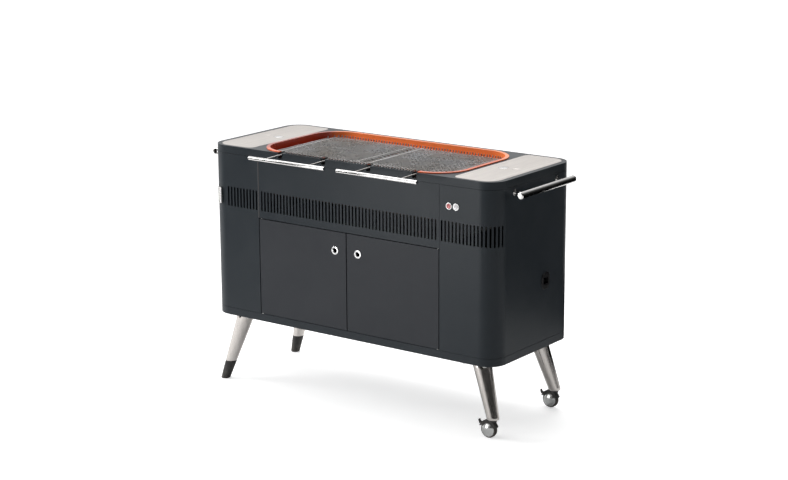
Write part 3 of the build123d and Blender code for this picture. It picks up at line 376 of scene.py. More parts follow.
def fired_enamel():
    """Mottled orange. A ramp along Y paints light on the back wall, which turns paler as if lit, and a ramp
    along X paints shade on the left-hand end wall, which turns darker: both are painted into the colour, so they
    show whatever the light. Soot = a ramp down in Z whose edge is made ragged by noise."""
    finish = Finish("fired orange enamel", coat=0.3, coat_roughness=0.2, specular=0.3)
    mottle = finish.effect("smudges", Scale=30.0, Amount=0.6)["Mask"]
    pores = finish.effect("pebble", Scale=420.0)
    base = finish.blend(mottle, tone(0.72, 0.095, 0.016), tone(0.88, 0.165, 0.03))
    parts = finish.add("ShaderNodeSeparateXYZ", {"Vector": finish.place}).outputs
    # Painted light: the back wall turns a paler orange, as if lit from the front.
    base = finish.blend(finish.remap(parts["Y"], PAINTED_LIGHT_FROM, PAINTED_LIGHT_FULL), base, tone(0.98, 0.26, 0.07))
    # Painted shade: the left-hand end wall turns dark red, as if it were in shade.
    base = finish.blend(finish.remap(parts["X"], PAINTED_SHADE_FROM, PAINTED_SHADE_FULL), base, tone(0.42, 0.045, 0.012))
    ragged = finish.math("ADD", parts["Z"],
                         finish.math("MULTIPLY", finish.noise(finish.place, 14.0, 6.0), 0.05))
    soot = finish.remap(ragged, deck_z - 0.015, deck_z - 0.105)
    finish.colour(finish.blend(soot, base, tone(0.045, 0.02, 0.014)))
    finish.gloss(finish.math("ADD", soot, finish.math("MULTIPLY", mottle, 0.2), clamp=True), 0.22, 0.75)
    return finish.bumps(pores["Height"], 0.00008, 0.25)


# %% Grill wire: drawn stainless with straw heat colour in patches
def grill_wire():
    """Broad smudges turn the steel from grey to straw; smaller ones lay darker, duller grease over it."""
    finish = Finish("heat-tinted grill wire", metallic=1.0)
    heat = finish.effect("smudges", Scale=7.0, Amount=1.0)["Mask"]
    grease = finish.effect("smudges", Scale=24.0, Amount=1.0)["Mask"]
    skin = finish.effect("pebble", Scale=500.0)
    base = finish.blend(heat, tone(0.46, 0.46, 0.47), tone(0.38, 0.35, 0.32))
    finish.colour(finish.blend(finish.math("MULTIPLY", grease, 0.3), base, tone(0.16, 0.15, 0.14)))
    finish.gloss(grease, 0.24, 0.34)
    return finish.bumps(skin["Height"], 0.00001, 0.2)


# %% Sheet and tube inside the fire: scaled and dulled
def burnt_steel(name, dark, light, rough):
    """Patches of scale turn the colour from light to dark and add 0.3 to the roughness."""
    finish = Finish(name, metallic=0.85)
    scale_patches = finish.effect("smudges", Scale=26.0, Amount=1.0)["Mask"]
    skin = finish.effect("pebble", Scale=500.0)
    finish.colour(finish.blend(scale_patches, light, dark))
    finish.gloss(scale_patches, rough, rough + 0.3)
    return finish.bumps(skin["Height"], 0.0001, 0.4)


# %% Moulded plastic and rubber, with dust where they stand near the ground
def moulded(name, dark, light, rough, dusty=0.0, grain=1100.0):
    """Smudged plastic with a fine grain, under dust that is strongest at the floor; dusty is its share."""
    finish = Finish(name, specular=0.4)
    skin = finish.effect("pebble", Scale=grain)
    marks = finish.effect("smudges", Scale=18.0, Amount=0.7)["Mask"]
    dust = finish.math("MULTIPLY", finish.effect("dust", Top=0.09)["Mask"], dusty)
    finish.colour(finish.blend(dust, finish.blend(marks, dark, light), tone(0.30, 0.27, 0.23)))
    finish.gloss(finish.math("ADD", marks, dust, clamp=True), rough, rough + 0.22)
    return finish.bumps(skin["Height"], 0.00005, 0.35)


# %% Name each finish for the slot it fills
LENGTHWAYS_Z, LENGTHWAYS_Y = (1.0, 1.0, 0.02), (1.0, 0.02, 1.0)
materials = {
    "graphite_paint": powder_coat("graphite powder coat", tone(0.018, 0.024, 0.030),
                                  tone(0.024, 0.030, 0.036), 0.34),
    "door_paint": powder_coat("door powder coat", tone(0.025, 0.028, 0.034), tone(0.032, 0.035, 0.041), 0.42),
    "inner_steel": powder_coat("inner panel coat", tone(0.045, 0.045, 0.047), tone(0.06, 0.06, 0.062), 0.55),
    "dark_hardware": powder_coat("black hardware coat", tone(0.02, 0.02, 0.021), tone(0.03, 0.03, 0.032),
                                 0.45),
    "prep_steel": brushed("brushed plate steel", tone(0.43, 0.40, 0.38), tone(0.56, 0.53, 0.50), LENGTHWAYS_Y,
                          0.36),
    "leg_steel": brushed("brushed leg steel", tone(0.58, 0.55, 0.52), tone(0.74, 0.70, 0.67), LENGTHWAYS_Z,
                         0.10, 0.10, 0.000006),
    "tray_steel": burnt_steel("heat-dulled tray steel", tone(0.020, 0.018, 0.017), tone(0.060, 0.056, 0.052),
                              0.45),
    "element_steel": burnt_steel("burnt element sheath", tone(0.06, 0.05, 0.045), tone(0.20, 0.17, 0.15),
                                 0.45),
    "wire_steel": grill_wire(),
    "orange_enamel": fired_enamel(),
    "bright_tube": polished("polished tube", tone(0.66, 0.65, 0.64), tone(0.82, 0.81, 0.80), 0.07),
    "ring_chrome": polished("ring chrome", tone(0.84, 0.84, 0.85), tone(0.95, 0.95, 0.95), 0.22),
    "bezel_chrome": polished("bezel chrome", tone(0.40, 0.40, 0.40), tone(0.54, 0.54, 0.54), 0.14),
    "castor_metal": polished("castor plating", tone(0.58, 0.59, 0.58), tone(0.74, 0.75, 0.74), 0.16),
    "fastener_steel": polished("zinc-plated fasteners", tone(0.42, 0.42, 0.41), tone(0.60, 0.60, 0.58), 0.24),
    "foot_plastic": moulded("foot plastic", tone(0.012, 0.012, 0.013), tone(0.022, 0.022, 0.023), 0.42, 0.35),
    "castor_tyre": moulded("castor rubber", tone(0.012, 0.012, 0.013), tone(0.024, 0.024, 0.025), 0.62, 0.6),
    "castor_hub": moulded("castor hub", tone(0.05, 0.05, 0.052), tone(0.09, 0.09, 0.092), 0.40, 0.4),
    "brake_plastic": moulded("brake tab plastic", tone(0.02, 0.02, 0.021), tone(0.034, 0.034, 0.036), 0.40,
                             0.3),
    "black_plastic": moulded("glossy black plastic", tone(0.010, 0.010, 0.011), tone(0.018, 0.018, 0.019),
                             0.22),
    "ignition_cap": polished("red-tinted button cap", tone(0.26, 0.09, 0.09), tone(0.36, 0.16, 0.16), 0.26),
    "power_cap": polished("silver button cap", tone(0.36, 0.35, 0.36), tone(0.48, 0.47, 0.48), 0.26),
}
print("finishes", len(materials))

# %% [markdown]
# ## Finishes on the carried-over pieces
# The record names one slot for each node, and the dictionary above holds one finish for each slot, so a
# single loop dresses the whole CAD model. Pieces that are built again below get the same finishes.

# %% Dress the CAD nodes
for subpart in frame["record"]["subparts"]:
    node = nodes[subpart["node"]]
    if not node.material_slots:
        node.data.materials.append(None)
    for material_slot in node.material_slots:
        material_slot.material = materials[subpart["material_slot"]]

# %% [markdown]
# ## Wire grills
# Each grill is a row of thick drawn wires on cross rods. The wires turn up at the back, and at the front most
# of them rise over the edge of the deck and stop just short of the cabinet's face. Curves with a bevel
# would do, but one array for all the wires of a grill keeps them in step: the route is worked out once, then
# shifted along X and drawn in where the firebox's corners are round.

# %% Grill sizes
WIRE_RADIUS = 0.00225
WIRE_PITCH = 0.0122
CROSS_RADIUS = 0.003
STOUT_RADIUS = 0.0036
WELD_BITE = 0.0008
WIRE_BEND = 0.004
WIRE_GAP = 0.007
LIP_REST = 0.0004
LEDGE_DROP = 0.0245
ledge_z = deck_z - LEDGE_DROP
cross_z = ledge_z + CROSS_RADIUS
wire_z = cross_z + CROSS_RADIUS + WIRE_RADIUS - WELD_BITE
lip_z = deck_z + LIP_REST + WIRE_RADIUS
face_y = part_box("front_fascia")[0].y
back_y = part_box("back_panel")[1].y
TRAY_TO_WALL, WALL_TO_CROSS = 0.028, 0.011
FRONT_MARGIN, STEP_MARGIN, BACK_MARGIN = 0.0355, 0.0215, 0.0525
well_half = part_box("charcoal_tray")[1].x + TRAY_TO_WALL
well_front, well_back, well_radius = face_y + FRONT_MARGIN, back_y - BACK_MARGIN, 0.060
step_front = face_y + STEP_MARGIN
front_cross_y, back_cross_y = well_front + WALL_TO_CROSS, well_back - WALL_TO_CROSS
wire_count = int(well_half / WIRE_PITCH)
arm_spacing = (wire_count - 1) * WIRE_PITCH / 2 - (wire_count // 4 - 0.5) * WIRE_PITCH
arm_xs = np.array([side * well_half / 2 + arm for side in (-1, 1) for arm in (-arm_spacing, arm_spacing)])
NOTCH_HALF, NOTCH_DEEP = 0.009, 0.021
lip_half = arm_xs.max() + NOTCH_HALF
print("wires in each grill", wire_count, "well half width", round(well_half, 4))

CORNER_CUTBACK, STOUT_INSET, CROSS_SHARE = 0.032, 0.0191, 0.27
UPTURN, RISE_RUN, TIP_MARGIN, TIP_ROUND = 0.009, 0.009, 0.0055, 0.0006


# %% Wires of one grill
def wire_rows(xs, route):
    """All wires on one route: each wire's points are (x, middle + (y - middle) k, z) where k < 1 draws a
    wire in beside the round corners of the firebox, by the circle's height at that x."""
    middle = (well_front + well_back) / 2
    reach = (well_back - well_front) / 2
    inset = well_radius - WIRE_GAP
    past = np.clip(np.abs(xs) - (well_half - well_radius), 0, None)
    drawn_in = inset - np.sqrt(inset ** 2 - past ** 2)
    k = (1 - drawn_in / reach)[:, None, None]
    grid = rod(route, WIRE_RADIUS, (1, 0, 0), columns=8, end_round=TIP_ROUND)
    stack = np.repeat(grid[None], len(xs), axis=0)
    stack[..., 1] = middle + (stack[..., 1] - middle) * k
    stack[..., 0] += xs[:, None, None]
    return stack


def build_grill(side, name):
    """Wires, cross rods and stout bars of one grill."""
    half = (wire_count - 1) * WIRE_PITCH / 2
    xs = side * well_half / 2 + np.arange(wire_count) * WIRE_PITCH - half
    near_arm = np.abs(xs[:, None] - arm_xs).min(axis=1) < NOTCH_HALF + WIRE_RADIUS
    over_lip = (np.abs(xs) < lip_half - WIRE_RADIUS) & ~near_arm
    back = [(0, well_back - WIRE_GAP, wire_z + UPTURN), (0, well_back - WIRE_GAP, wire_z)]
    long_route = rounded_route(back + [(0, front_cross_y, wire_z), (0, step_front + RISE_RUN, lip_z),
                                       (0, face_y + TIP_MARGIN, lip_z)], WIRE_BEND)
    short_route = rounded_route(back + [(0, well_front + WIRE_GAP, wire_z)], WIRE_BEND)
    grids = [wire_rows(xs[over_lip], long_route), wire_rows(xs[~over_lip], short_route)]
    middle_y = (well_front + well_back) / 2
    spacing = CROSS_SHARE * (well_back - well_front)
    for y in (front_cross_y, middle_y - spacing, middle_y, middle_y + spacing, back_cross_y):
        short = CORNER_CUTBACK if y in (front_cross_y, back_cross_y) else 0.0
        start = side * (well_half / 2 - half) - side * WIRE_RADIUS
        end = side * (well_half / 2 + half - short) + side * WIRE_RADIUS
        route = np.array([(start, y, cross_z), ((start + end) / 2, y, cross_z), (end, y, cross_z)])
        grids.append(rod(route, CROSS_RADIUS, (0, 0, 1)))
    for x in (side * (well_half / 2 - half + STOUT_INSET), side * (well_half / 2 + half - 2 * WIRE_PITCH)):
        route = np.array([(x, front_cross_y, wire_z), (x, middle_y, wire_z), (x, back_cross_y, wire_z)])
        grids.append(rod(route, STOUT_RADIUS, (1, 0, 0)))
    make_piece(name + "_grill_wires", grids, "wire_steel", name + "_grill_unit", [name + "_grill"])


for side, name in ((-1, "left"), (1, "right")):
    build_grill(side, name)

# %% [markdown]
# ## Lifting handles
# Each grill is lifted by a polished bar in front of the cabinet. Two thin arms of dark wire run back from the
# bar and drop through notches in the deck, lined with black sheet as painted shade, to the grill's front rod.
# The arms are bent wire, so they follow rounded routes; the bar is turned, with eased ends.

# %% Grill handles
BAR_RADIUS, BAR_DROP, BAR_EASE = 0.007, 0.012, 0.0015
ARM_RADIUS, ARM_DROP, ARM_BEND = 0.00325, 0.008, 0.004


def build_grill_handle(name):
    """A turned bar, and two arms of bent wire that run back from it, dip and meet the grill's front rod."""
    low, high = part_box(name + "_grill_handle")
    bar_y, bar_z = low.y + BAR_RADIUS, deck_z - BAR_DROP
    length = high.x - low.x
    half_bar = np.array([(0, 0), *arc(BAR_EASE, BAR_RADIUS - BAR_EASE, BAR_EASE, -90, 0, 5)])
    far_half = half_bar[::-1] * (-1, 1) + (length, 0)
    bar = turned(np.concatenate([half_bar, far_half]), (low.x, bar_y, bar_z), (1, 0, 0), 40)
    make_piece(name + "_lifting_bar", [bar], "bright_tube", name + "_grill_unit", [name + "_grill_handle"])
    grids, middle = [], (low.x + high.x) / 2
    arm_z = deck_z - ARM_DROP
    for x in (middle - arm_spacing, middle + arm_spacing):
        end_z = ledge_z + ARM_RADIUS + 0.0003
        route = rounded_route([(x, bar_y + 0.003, bar_z + 0.002), (x, face_y - 0.012, arm_z),
                               (x, well_front - 0.004, arm_z),
                               (x, front_cross_y - 2 * ARM_RADIUS, end_z), (x, front_cross_y, end_z)],
                              ARM_BEND)
        grids.append(rod(route, ARM_RADIUS, (1, 0, 0), columns=20))
    make_piece(name + "_lifting_arms", grids, "wire_steel", name + "_grill_unit", [name + "_grill_handle"])


for name in ("left", "right"):
    build_grill_handle(name)


# %% [markdown]
# ## Notch liners that paint shade
# Each arm drops through an open notch in the deck. Thin black sheet lines each notch as painted shade: it
# hides the lit firebox beyond, so the notch reads dark. A liner is three thin plates. A plate could be a
# scaled cube, but as a rectangle carried along Y it is built like every other piece.

# %% Black liners that paint the shade inside the notches that the arms drop into
SHEET, CLEARANCE = 0.0005, 0.0003


def slab(low, high):
    """A thin plate: its rectangle is carried along Y, and both ends shrink to their middles to close it."""
    section = np.array([(low[0], low[2]), (high[0], low[2]), (high[0], high[2]), (low[0], high[2])])
    middle = np.broadcast_to(section.mean(axis=0), section.shape)
    rows = [(middle, low[1]), (section, low[1]), (section, high[1]), (middle, high[1])]
    return np.stack([np.stack([plane[:, 0], np.full(4, y), plane[:, 1]], axis=-1) for plane, y in rows])


def build_notch_shade_liners():
    """Three thin black plates line the bottom and the two sides of each notch, as painted shade that hides the
    lit firebox beyond. The bottom one ends sooner, because the arm dips past it into the firebox."""
    wide = NOTCH_HALF - CLEARANCE
    low_z, high_z = deck_z - NOTCH_DEEP + CLEARANCE, deck_z + 0.0002
    near_y, far_y, floor_y = face_y + 0.0012, well_front + 0.003, well_front - 0.0005
    grids = []
    for x in arm_xs:
        grids.append(slab((x - wide, near_y, low_z), (x + wide, floor_y, low_z + SHEET)))
        for edge in (x - wide, x + wide - SHEET):
            grids.append(slab((edge, near_y, low_z + SHEET), (edge + SHEET, far_y, high_z)))
    # Painted shade: black sheet put inside each notch, where the firebox edge would otherwise show lit.
    make_piece("notch_liners", grids, "black_plastic", "cabinet")


build_notch_shade_liners()

# %% [markdown]
# ## Side handles
# A polished tube stands off each end on two posts. Its ends are closed with crowned plugs. All of them are
# turned shapes, and a groove where each plug meets the tube catches the light as it does on the real one.

# %% Side handle tubes, plugs and posts
POST_INSET, POST_RADIUS, ROSE_RADIUS = 0.035, 0.005, 0.011


def tube_profile(length, radius):
    """Half profile of a capped tube: a crown, a fine groove at the plug's edge, then the straight wall."""
    crown = np.array([(-0.003, 0), (-0.003, radius * 0.55), *arc(0, radius - 0.0024, 0.0024, -75, -20, 5)])
    groove = np.array([(-0.0002, radius), (0.0, radius - 0.0006), (0.0004, radius - 0.0006), (0.0006, radius)])
    half = np.concatenate([crown, groove])
    return np.concatenate([half, half[::-1] * (-1, 1) + (length, 0)])


def build_side_handle(name, side):
    """Makes one tube and returns the grids of its two posts: each is a rose against the panel and a stalk."""
    low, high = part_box(name + "_side_handle")
    radius = (high.z - low.z) / 2
    x, z = (low.x + high.x) / 2, (low.z + high.z) / 2
    make_piece(name + "_rail", [turned(tube_profile(high.y - low.y, radius), (x, low.y, z), (0, 1, 0), 72)],
               "bright_tube", "cabinet", [name + "_side_handle"])
    panel_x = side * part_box("top_frame")[1].x
    reach = abs(x - panel_x)
    inside = radius * 0.8
    post = [(0.0, 0.0), (0.0, ROSE_RADIUS), (0.0022, ROSE_RADIUS), (0.003, 0.0102), (0.003, 0.0056),
            (0.0036, POST_RADIUS), (reach - inside, POST_RADIUS), (reach - inside, 0.0)]
    return [turned(post, (panel_x, y, z), (side, 0, 0), 40) for y in (low.y + POST_INSET, high.y - POST_INSET)]


post_grids = []
for name, side in (("left", -1), ("right", 1)):
    post_grids += build_side_handle(name, side)
make_piece("rail_posts", post_grids, "bright_tube", "cabinet", ["handle_posts", "handle_caps"])

# %% [markdown]
# ## Legs and feet
# Each leg is a tapered stainless tube that leans outwards. A turned cone about the leaning axis would end in
# slanted rims, so every ring is kept level instead: the ring at height z is a circle about the axis point at z.
# The castor's swivel joint gives the lower end of the axis, and its mirror image gives the left-hand legs.

# %% Legs and feet
SPLAY = np.array([0.331, 0.114])
LEG_TOP_RADIUS, LEG_END_RADIUS = 0.034, 0.0218
leg_end_z = joints["front_castor_swivel"]["pos_m"][2]
leg_top_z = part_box("leg_plates")[0].z
taper = (LEG_TOP_RADIUS - LEG_END_RADIUS) / (leg_top_z + 0.005 - leg_end_z)
middle_y = (face_y + back_y) / 2


def leaning_rings(end_x, end_y, levels, columns=64):
    """Level rings about a leaning axis: centre moves by the splay for each metre up, and for a row (z, s)
    the radius is the taper's own radius at z plus s."""
    levels = np.array(levels, float)
    rise = levels[:, 0] - leg_end_z
    outward = np.sign([end_x, end_y - middle_y])
    centres = np.array([end_x, end_y]) - rise[:, None] * SPLAY * outward
    radii = np.maximum(LEG_END_RADIUS + taper * rise + levels[:, 1], 0.0)
    angle = np.linspace(0, 2 * pi, columns, endpoint=False)
    x = centres[:, 0, None] + radii[:, None] * np.cos(angle)
    y = centres[:, 1, None] + radii[:, None] * np.sin(angle)
    z = np.broadcast_to(levels[:, 0, None], x.shape)
    return np.stack([x, y, z], axis=-1)


def build_leg(name, end_x, end_y):
    """A leaning tube whose two rims are eased inwards and closed."""
    levels = [(leg_end_z, -1.0), (leg_end_z, -0.0012), (leg_end_z + 0.0005, -0.0004), (leg_end_z + 0.0014, 0.0)]
    levels += [(z, 0.0) for z in np.linspace(leg_end_z + 0.01, leg_top_z - 0.001, 12)]
    levels += [(leg_top_z, -0.0008), (leg_top_z, -1.0)]
    make_piece(name + "_leg_tube", [leaning_rings(end_x, end_y, levels)], "leg_steel", "cabinet",
               [name + "_leg"])


def build_foot(name, end_x, end_y):
    """A moulded shoe that carries the leg's taper on to the floor, with a fine groove near its foot."""
    levels = [(0.0, -1.0), (0.0, -0.0025), (0.0008, -0.001), (0.0025, 0.0), (0.012, 0.0), (0.0126, -0.0006),
              (0.0140, -0.0006), (0.0146, 0.0), (leg_end_z - 0.0030, 0.0), (leg_end_z - 0.0026, -0.0012),
              (leg_end_z, -0.0012), (leg_end_z, -1.0)]
    make_piece(name + "_foot_shoe", [leaning_rings(end_x, end_y, levels)], "foot_plastic", "cabinet",
               [name + "_foot"])


for row in ("front", "back"):
    end_x, end_y, _ = joints[row + "_castor_swivel"]["pos_m"]
    build_leg("right_" + row, end_x, end_y)
    build_leg("left_" + row, -end_x, end_y)
    build_foot(row, -end_x, end_y)

# %% [markdown]
# ## Castors
# The castor is a single wheel beside its stem, with a bright domed cheek in front of it and a thin black hood
# over it. The tyre, hub and dome are turned about the wheel's axis, which the spin joint gives. The hood is a
# profile carried round the same axis through part of a turn.

# %% Castor wheels
WHEEL_RADIUS, WHEEL_WIDTH, HUB_RADIUS = 0.030, 0.016, 0.022
CHEEK_RADIUS, DOME_RISE, CHEEK_SHEET = 0.025, 0.007, 0.002
HOOD_GAP, HOOD_SHEET, HOOD_END, WEB_INSIDE = 0.0025, 0.003, 0.010, 0.0225
COLLAR_DROP = 0.0101


def hood_sweep(centre, inner, outer, y0, y1, steps=40):
    """A rectangle carried round the wheel's axis: (x, z) = centre + r (cos a, sin a) over the arc whose ends
    are level, 10 mm above the axis. The first and last sections shrink to a point, which closes them."""
    start = np.arcsin(HOOD_END / inner)
    angle = np.linspace(start, pi - start, steps)
    ease = 0.0006
    section = np.array([(inner, y0), (inner, y1), (outer - ease, y1), (outer, y1 - ease), (outer, y0 + ease),
                        (outer - ease, y0)])
    sections = np.repeat(section[None], steps, axis=0)
    middle = section.mean(axis=0)
    order = np.concatenate([[0], np.arange(steps), [steps - 1]])
    sections, angle = sections[order], angle[order]
    sections[[0, -1]] = middle
    radius, y = sections[..., 0], sections[..., 1]
    return np.stack([centre[0] + radius * np.cos(angle)[:, None], y,
                     centre[2] + radius * np.sin(angle)[:, None]], axis=-1)


def build_castor(name):
    """Tyre, hub, cheek and hood. The cheek's dome is h = rise (1 - (r / R)^2), a shallow paraboloid."""
    centre = np.array(joints[name + "_wheel_spin"]["pos_m"])
    stem = np.array(joints[name + "_castor_swivel"]["pos_m"])
    half = WHEEL_WIDTH / 2
    tread = np.concatenate([[(-half, HUB_RADIUS)], arc(-half + 0.0035, WHEEL_RADIUS - 0.0035, 0.0035, -90, 0),
                            [(-0.0012, WHEEL_RADIUS), (-0.0006, WHEEL_RADIUS - 0.0006),
                             (0.0006, WHEEL_RADIUS - 0.0006), (0.0012, WHEEL_RADIUS)],
                            arc(half - 0.0035, WHEEL_RADIUS - 0.0035, 0.0035, 0, 90), [(half, HUB_RADIUS)]])
    make_piece(name + "_tyre_ring", [turned(tread, centre, (0, 1, 0), 72)], "castor_tyre", name + "_wheel",
               [name + "_castor_tyre"], wrap_rows=True)
    hub = [(-half, 0.0), (-half, 0.008), (-half + 0.001, 0.0083), (-half + 0.001, 0.0218),
           (half - 0.002, 0.0218), (half - 0.002, 0.0195), (half - 0.0045, 0.0185),
           (half - 0.0045, 0.0105), (half - 0.001, 0.0088), (half, 0.008), (half, 0.0)]
    make_piece(name + "_wheel_centre", [turned(hub, centre, (0, 1, 0), 60)], "castor_hub", name + "_wheel",
               [name + "_castor_hub"])
    cheek_y = -half - 0.001
    rings = np.linspace(0, CHEEK_RADIUS - 0.0002, 14)
    dome = np.stack([cheek_y - 0.0001 - DOME_RISE * (1 - (rings / CHEEK_RADIUS) ** 2), rings], axis=-1)
    rim = [(cheek_y - 0.0004, CHEEK_RADIUS), (cheek_y, CHEEK_RADIUS - 0.0002), (cheek_y, 0.0)]
    gap = WHEEL_RADIUS + HOOD_GAP
    near_y, cheek_face = centre[1] + cheek_y - CHEEK_SHEET, centre[1] + cheek_y
    hood = hood_sweep(centre, gap, gap + HOOD_SHEET, near_y, centre[1] + half)
    web = hood_sweep(centre, WEB_INSIDE, gap + 0.0005, near_y, cheek_face)
    collar = [(0.0, 0.0), (0.0, 0.0125), (0.0008, 0.013), (0.0088, 0.013), (0.0096, 0.0122), (0.0096, 0.0)]
    collar_foot = stem - np.array([0, 0, COLLAR_DROP])
    make_piece(name + "_castor_cheek", [turned(np.concatenate([dome, rim]), centre, (0, 1, 0), 72)],
               "castor_metal", name + "_castor", [name + "_castor_housing"])
    make_piece(name + "_castor_hood", [hood, web, turned(collar, collar_foot, (0, 0, 1), 48)],
               "brake_plastic", name + "_castor", [name + "_castor_housing"])


for row in ("front", "back"):
    build_castor(row)

# %% [markdown]
# ## Rings and buttons
# These small parts are bright and round, so they flash in the light. Each is turned about an axis that points
# out of the cabinet's face. The finger rings are dished towards the hole, as pressed rings are.

# %% Door rings
def build_door_ring(name):
    """A flanged ring: its profile runs round the flange, over the eased rim and down into the hole."""
    low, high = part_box(name + "_door_ring")
    x, z = (low.x + high.x) / 2, (low.z + high.z) / 2
    outer, stand = (high.x - low.x) / 2, 0.002
    profile = np.concatenate([[(0.0040, 0.0080), (0.0040, 0.0120), (0.0, 0.0120), (0.0, outer)],
                              arc(-stand * 0.2, outer - 0.0014, 0.0014, 0, -90, 6),
                              [(-stand, 0.0112)], arc(-stand + 0.0012, 0.0094, 0.0012, -60, -90, 4),
                              [(0.0, 0.0082)]])
    make_piece(name + "_finger_ring", [turned(profile, (x, face_y, z), (0, 1, 0), 60)], "ring_chrome",
               name + "_door_leaf", [name + "_door_ring"], wrap_rows=True)


for name in ("left", "right"):
    build_door_ring(name)


# %% Push buttons
def build_button(name, body, slot):
    """A slightly dished cap with an eased rim: the middle of its face lies 0.6 mm below the edge."""
    low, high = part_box(name + "_button")
    x, z = (low.x + high.x) / 2, (low.z + high.z) / 2
    radius = (high.x - low.x) / 2
    depth = high.y - low.y
    cap = np.concatenate([[(0.0006, 0.0), (0.0004, radius * 0.45), (0.0, radius * 0.62)],
                          arc(0.0012, radius - 0.0012, 0.0012, -90, 0, 6), [(depth, radius), (depth, 0.0)]])
    make_piece(name + "_cap_turned", [turned(cap, (x, low.y, z), (0, 1, 0), 56)], slot, body,
               [name + "_button"])


build_button("ignition", "ignition_cap", "ignition_cap")
build_button("power", "power_cap", "power_cap")

# %% [markdown]
# ## Fixings and trims
# Small fixings show that the cabinet is made of folded sheets. The back panel is held by two rows of
# pan-head screws, and a thin ridge runs where the panel over the doors meets the left-hand end; its paler
# coat is a painted highlight along the fold.

# %% Back panel screws and the seam ridge with its painted highlight
EDGE_MARGIN, ROW_MARGIN = 0.012, 0.014


def build_back_screws():
    """Two rows of pan heads, each turned about an axis that points straight back."""
    low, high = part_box("back_panel")
    xs = np.linspace(low.x + EDGE_MARGIN, high.x - EDGE_MARGIN, 6)
    head = [(0.0, 0.0), (0.0, 0.0042), (0.0008, 0.0042), (0.0016, 0.0034), (0.0020, 0.0020), (0.0021, 0.0)]
    rows = (low.z + ROW_MARGIN, high.z - ROW_MARGIN)
    grids = [turned(head, (x, high.y, z), (0, 1, 0), 20) for x in xs for z in rows]
    make_piece("back_screws", grids, "fastener_steel", "cabinet")


build_back_screws()


def build_seam_ridge_painted_highlight():
    """A thin folded lip: a rounded ridge carried straight up the seam, as a tube squeezed flat in Y. Its paler
    inner-panel coat is a painted highlight along the fold.
    """
    seam_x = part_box("left_side_shell")[1].x + 0.0008
    low_z, high_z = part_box("front_fascia")[0].z + 0.001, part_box("front_fascia")[1].z - 0.001
    route = np.array([(seam_x, 0, low_z), (seam_x, 0, (low_z + high_z) / 2), (seam_x, 0, high_z)])
    ridge = rod(route, 0.0030, (1, 0, 0), columns=16)
    ridge[..., 1] = face_y + ridge[..., 1] * 0.25
    # Painted highlight: the ridge takes the paler inner-panel coat so that the fold reads bright.
    make_piece("seam_edge", [ridge], "inner_steel", "cabinet")


build_seam_ridge_painted_highlight()

# %% [markdown]
# ## Floor, light and camera
# A pale floor and a pale sky give the soft, even light of a studio. Large soft lights add the gleam on the
# tubes and the gentle fall from the front of the cabinet to its darker end, and black boards that only
# reflections see draw the dark bands along bright metal.

# %% Floor
def make_floor(size=30.0):
    """One square with its middle under the object. Its glow is seen by the camera's own rays only: that keeps
    the floor pale in the picture, and the glow adds no light to the object."""
    mesh = bpy.data.meshes.new("floor")
    corners = np.array([(-1, -1, 0), (1, -1, 0), (1, 1, 0), (-1, 1, 0)], float) * size
    mesh.from_pydata(corners.tolist(), [], [(0, 1, 2, 3)])
    floor = bpy.data.objects.new("floor", mesh)
    bpy.context.scene.collection.objects.link(floor)
    finish = bpy.data.materials.new("pale floor")
    finish.use_nodes = True
    shader = finish.node_tree.nodes["Principled BSDF"]
    shader.inputs["Base Color"].default_value = tone(0.92, 0.92, 0.92)
    shader.inputs["Roughness"].default_value = 0.7
    shader.inputs["Emission Color"].default_value = tone(1.0, 1.0, 1.0)
    wiring = Wiring(finish.node_tree)
    seen = wiring.add("ShaderNodeLightPath").outputs["Is Camera Ray"]
    finish.node_tree.links.new(wiring.remap(seen, 0.0, 1.0, 0.0, 0.55), shader.inputs["Emission Strength"])
    mesh.materials.append(finish)


make_floor()


# %% Lights
def soft_light(name, place, target, width, height, power):
    """A rectangle of light turned so that its -Z axis points from its place to the target."""
    data = bpy.data.lights.new(name, "AREA")
    data.shape = "RECTANGLE"
    data.size, data.size_y, data.energy = width, height, power
    lamp = bpy.data.objects.new(name, data)
    lamp.location = place
    lamp.visible_camera = False
    lamp.rotation_euler = (Vector(target) - Vector(place)).to_track_quat("-Z", "Y").to_euler()
    bpy.context.scene.collection.objects.link(lamp)


soft_light("left softbox", (-4.2, -2.2, 2.4), (0, 0, 0.6), 2.0, 2.4, 90)
soft_light("overhead softbox", (-0.8, 1.0, 3.4), (0, 0, 0.6), 3.0, 2.2, 60)
soft_light("low softbox in front", (-1.3, -2.9, 0.55), (0.5, -0.25, 0.5), 1.1, 0.9, 15)
soft_light("right softbox", (4.0, 2.2, 1.2), (0.6, 0, 0.3), 0.6, 1.6, 14)


# %% Black boards beside the object
def black_flag(name, near, far, bottom, top):
    """A black board on edge, as a studio stands beside a shiny object to give its tubes dark bands.
    Only reflections see it: the camera, the soft light and the shadows don't."""
    low, high = [(*near, bottom), (*far, bottom)], [(*far, top), (*near, top)]
    mesh = bpy.data.meshes.new(name)
    mesh.from_pydata(low + high, [], [(0, 1, 2, 3)])
    paint = bpy.data.materials.new(name)
    paint.use_nodes = True
    shader = paint.node_tree.nodes["Principled BSDF"]
    shader.inputs["Base Color"].default_value = tone(0.004, 0.004, 0.004)
    shader.inputs["Specular IOR Level"].default_value = 0.0
    mesh.materials.append(paint)
    board = bpy.data.objects.new(name, mesh)
    board.visible_camera = board.visible_diffuse = board.visible_shadow = False
    bpy.context.scene.collection.objects.link(board)


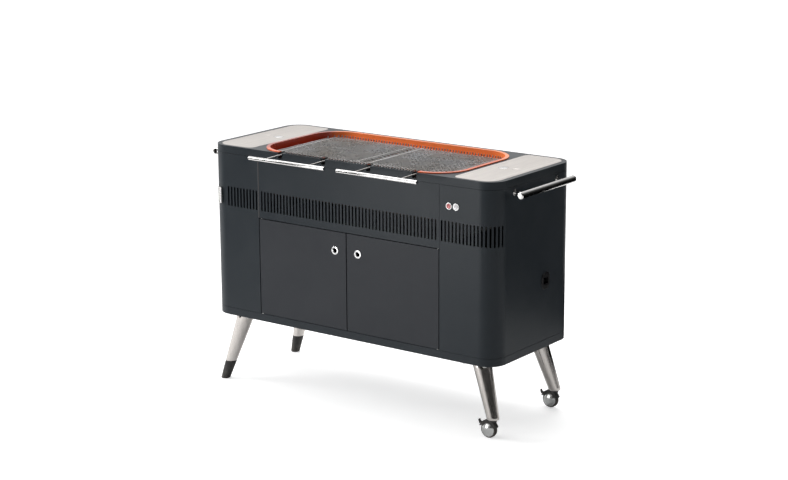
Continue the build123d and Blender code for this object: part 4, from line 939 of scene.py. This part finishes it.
black_flag("flag in front", (-2.8, -1.6), (-1.0, -1.6), 0.0, 1.9)
black_flag("flag by the camera", (1.3, -2.7), (2.3, -1.9), 0.7, 1.9)
black_flag("flag behind", (0.75, 0.8), (3.0, 0.8), 0.12, 1.0)
black_flag("low flag behind", (0.1, 0.8), (0.75, 0.8), 0.0, 0.35)


# %% Sky
def pale_studio():
    """Sky that the object reflects: bright towards the left and overhead, dim towards the right-hand end.
    The brightness is a straight ramp of how far each direction points along the key direction. The camera's own
    rays see plain white instead."""
    world = bpy.data.worlds.new("pale studio")
    world.use_nodes = True
    sky = Wiring(world.node_tree)
    direction = sky.add("ShaderNodeTexCoord").outputs["Generated"]
    towards = sky.add("ShaderNodeVectorMath", {0: direction, 1: (-0.76, 0.10, 0.64)},
                      operation="DOT_PRODUCT").outputs["Value"]
    lit = sky.remap(towards, 0.05, 0.72, 0.04, 1.0)
    seen = sky.add("ShaderNodeLightPath").outputs["Is Camera Ray"]
    strength = sky.add("ShaderNodeMix", {0: seen, 2: lit, 3: 1.0}, data_type="FLOAT").outputs[0]
    background = world.node_tree.nodes["Background"]
    background.inputs["Color"].default_value = tone(1.0, 1.0, 1.0)
    world.node_tree.links.new(strength, background.inputs["Strength"])
    bpy.context.scene.world = world


pale_studio()
print("lights", [lamp.name for lamp in bpy.data.lights])


# %% Camera
def place_camera(location, yaw, pitch, roll, lens):
    """Looks along -back, where back = (sin yaw cos pitch, -cos yaw cos pitch, sin pitch); the right and up
    vectors are then turned by the roll."""
    back = np.array([sin(yaw) * cos(pitch), -cos(yaw) * cos(pitch), sin(pitch)])
    level = np.array([cos(yaw), sin(yaw), 0.0])
    upright = np.cross(back, level)
    right = cos(roll) * level + sin(roll) * upright
    up = -sin(roll) * level + cos(roll) * upright
    data = bpy.data.cameras.new("camera")
    data.lens, data.sensor_width = lens, 36.0
    camera = bpy.data.objects.new("camera", data)
    turn = Matrix((right, up, back)).transposed().to_4x4()
    camera.matrix_world = Matrix.Translation(Vector(location)) @ turn
    bpy.context.scene.collection.objects.link(camera)
    bpy.context.scene.camera = camera


place_camera((4.0166, -5.3681, 2.2234), radians(36.395), radians(13.711), radians(-0.277), 87.793)
bpy.context.scene.view_settings.view_transform = "Standard"
print("camera at", [round(value, 3) for value in bpy.context.scene.camera.matrix_world.translation])
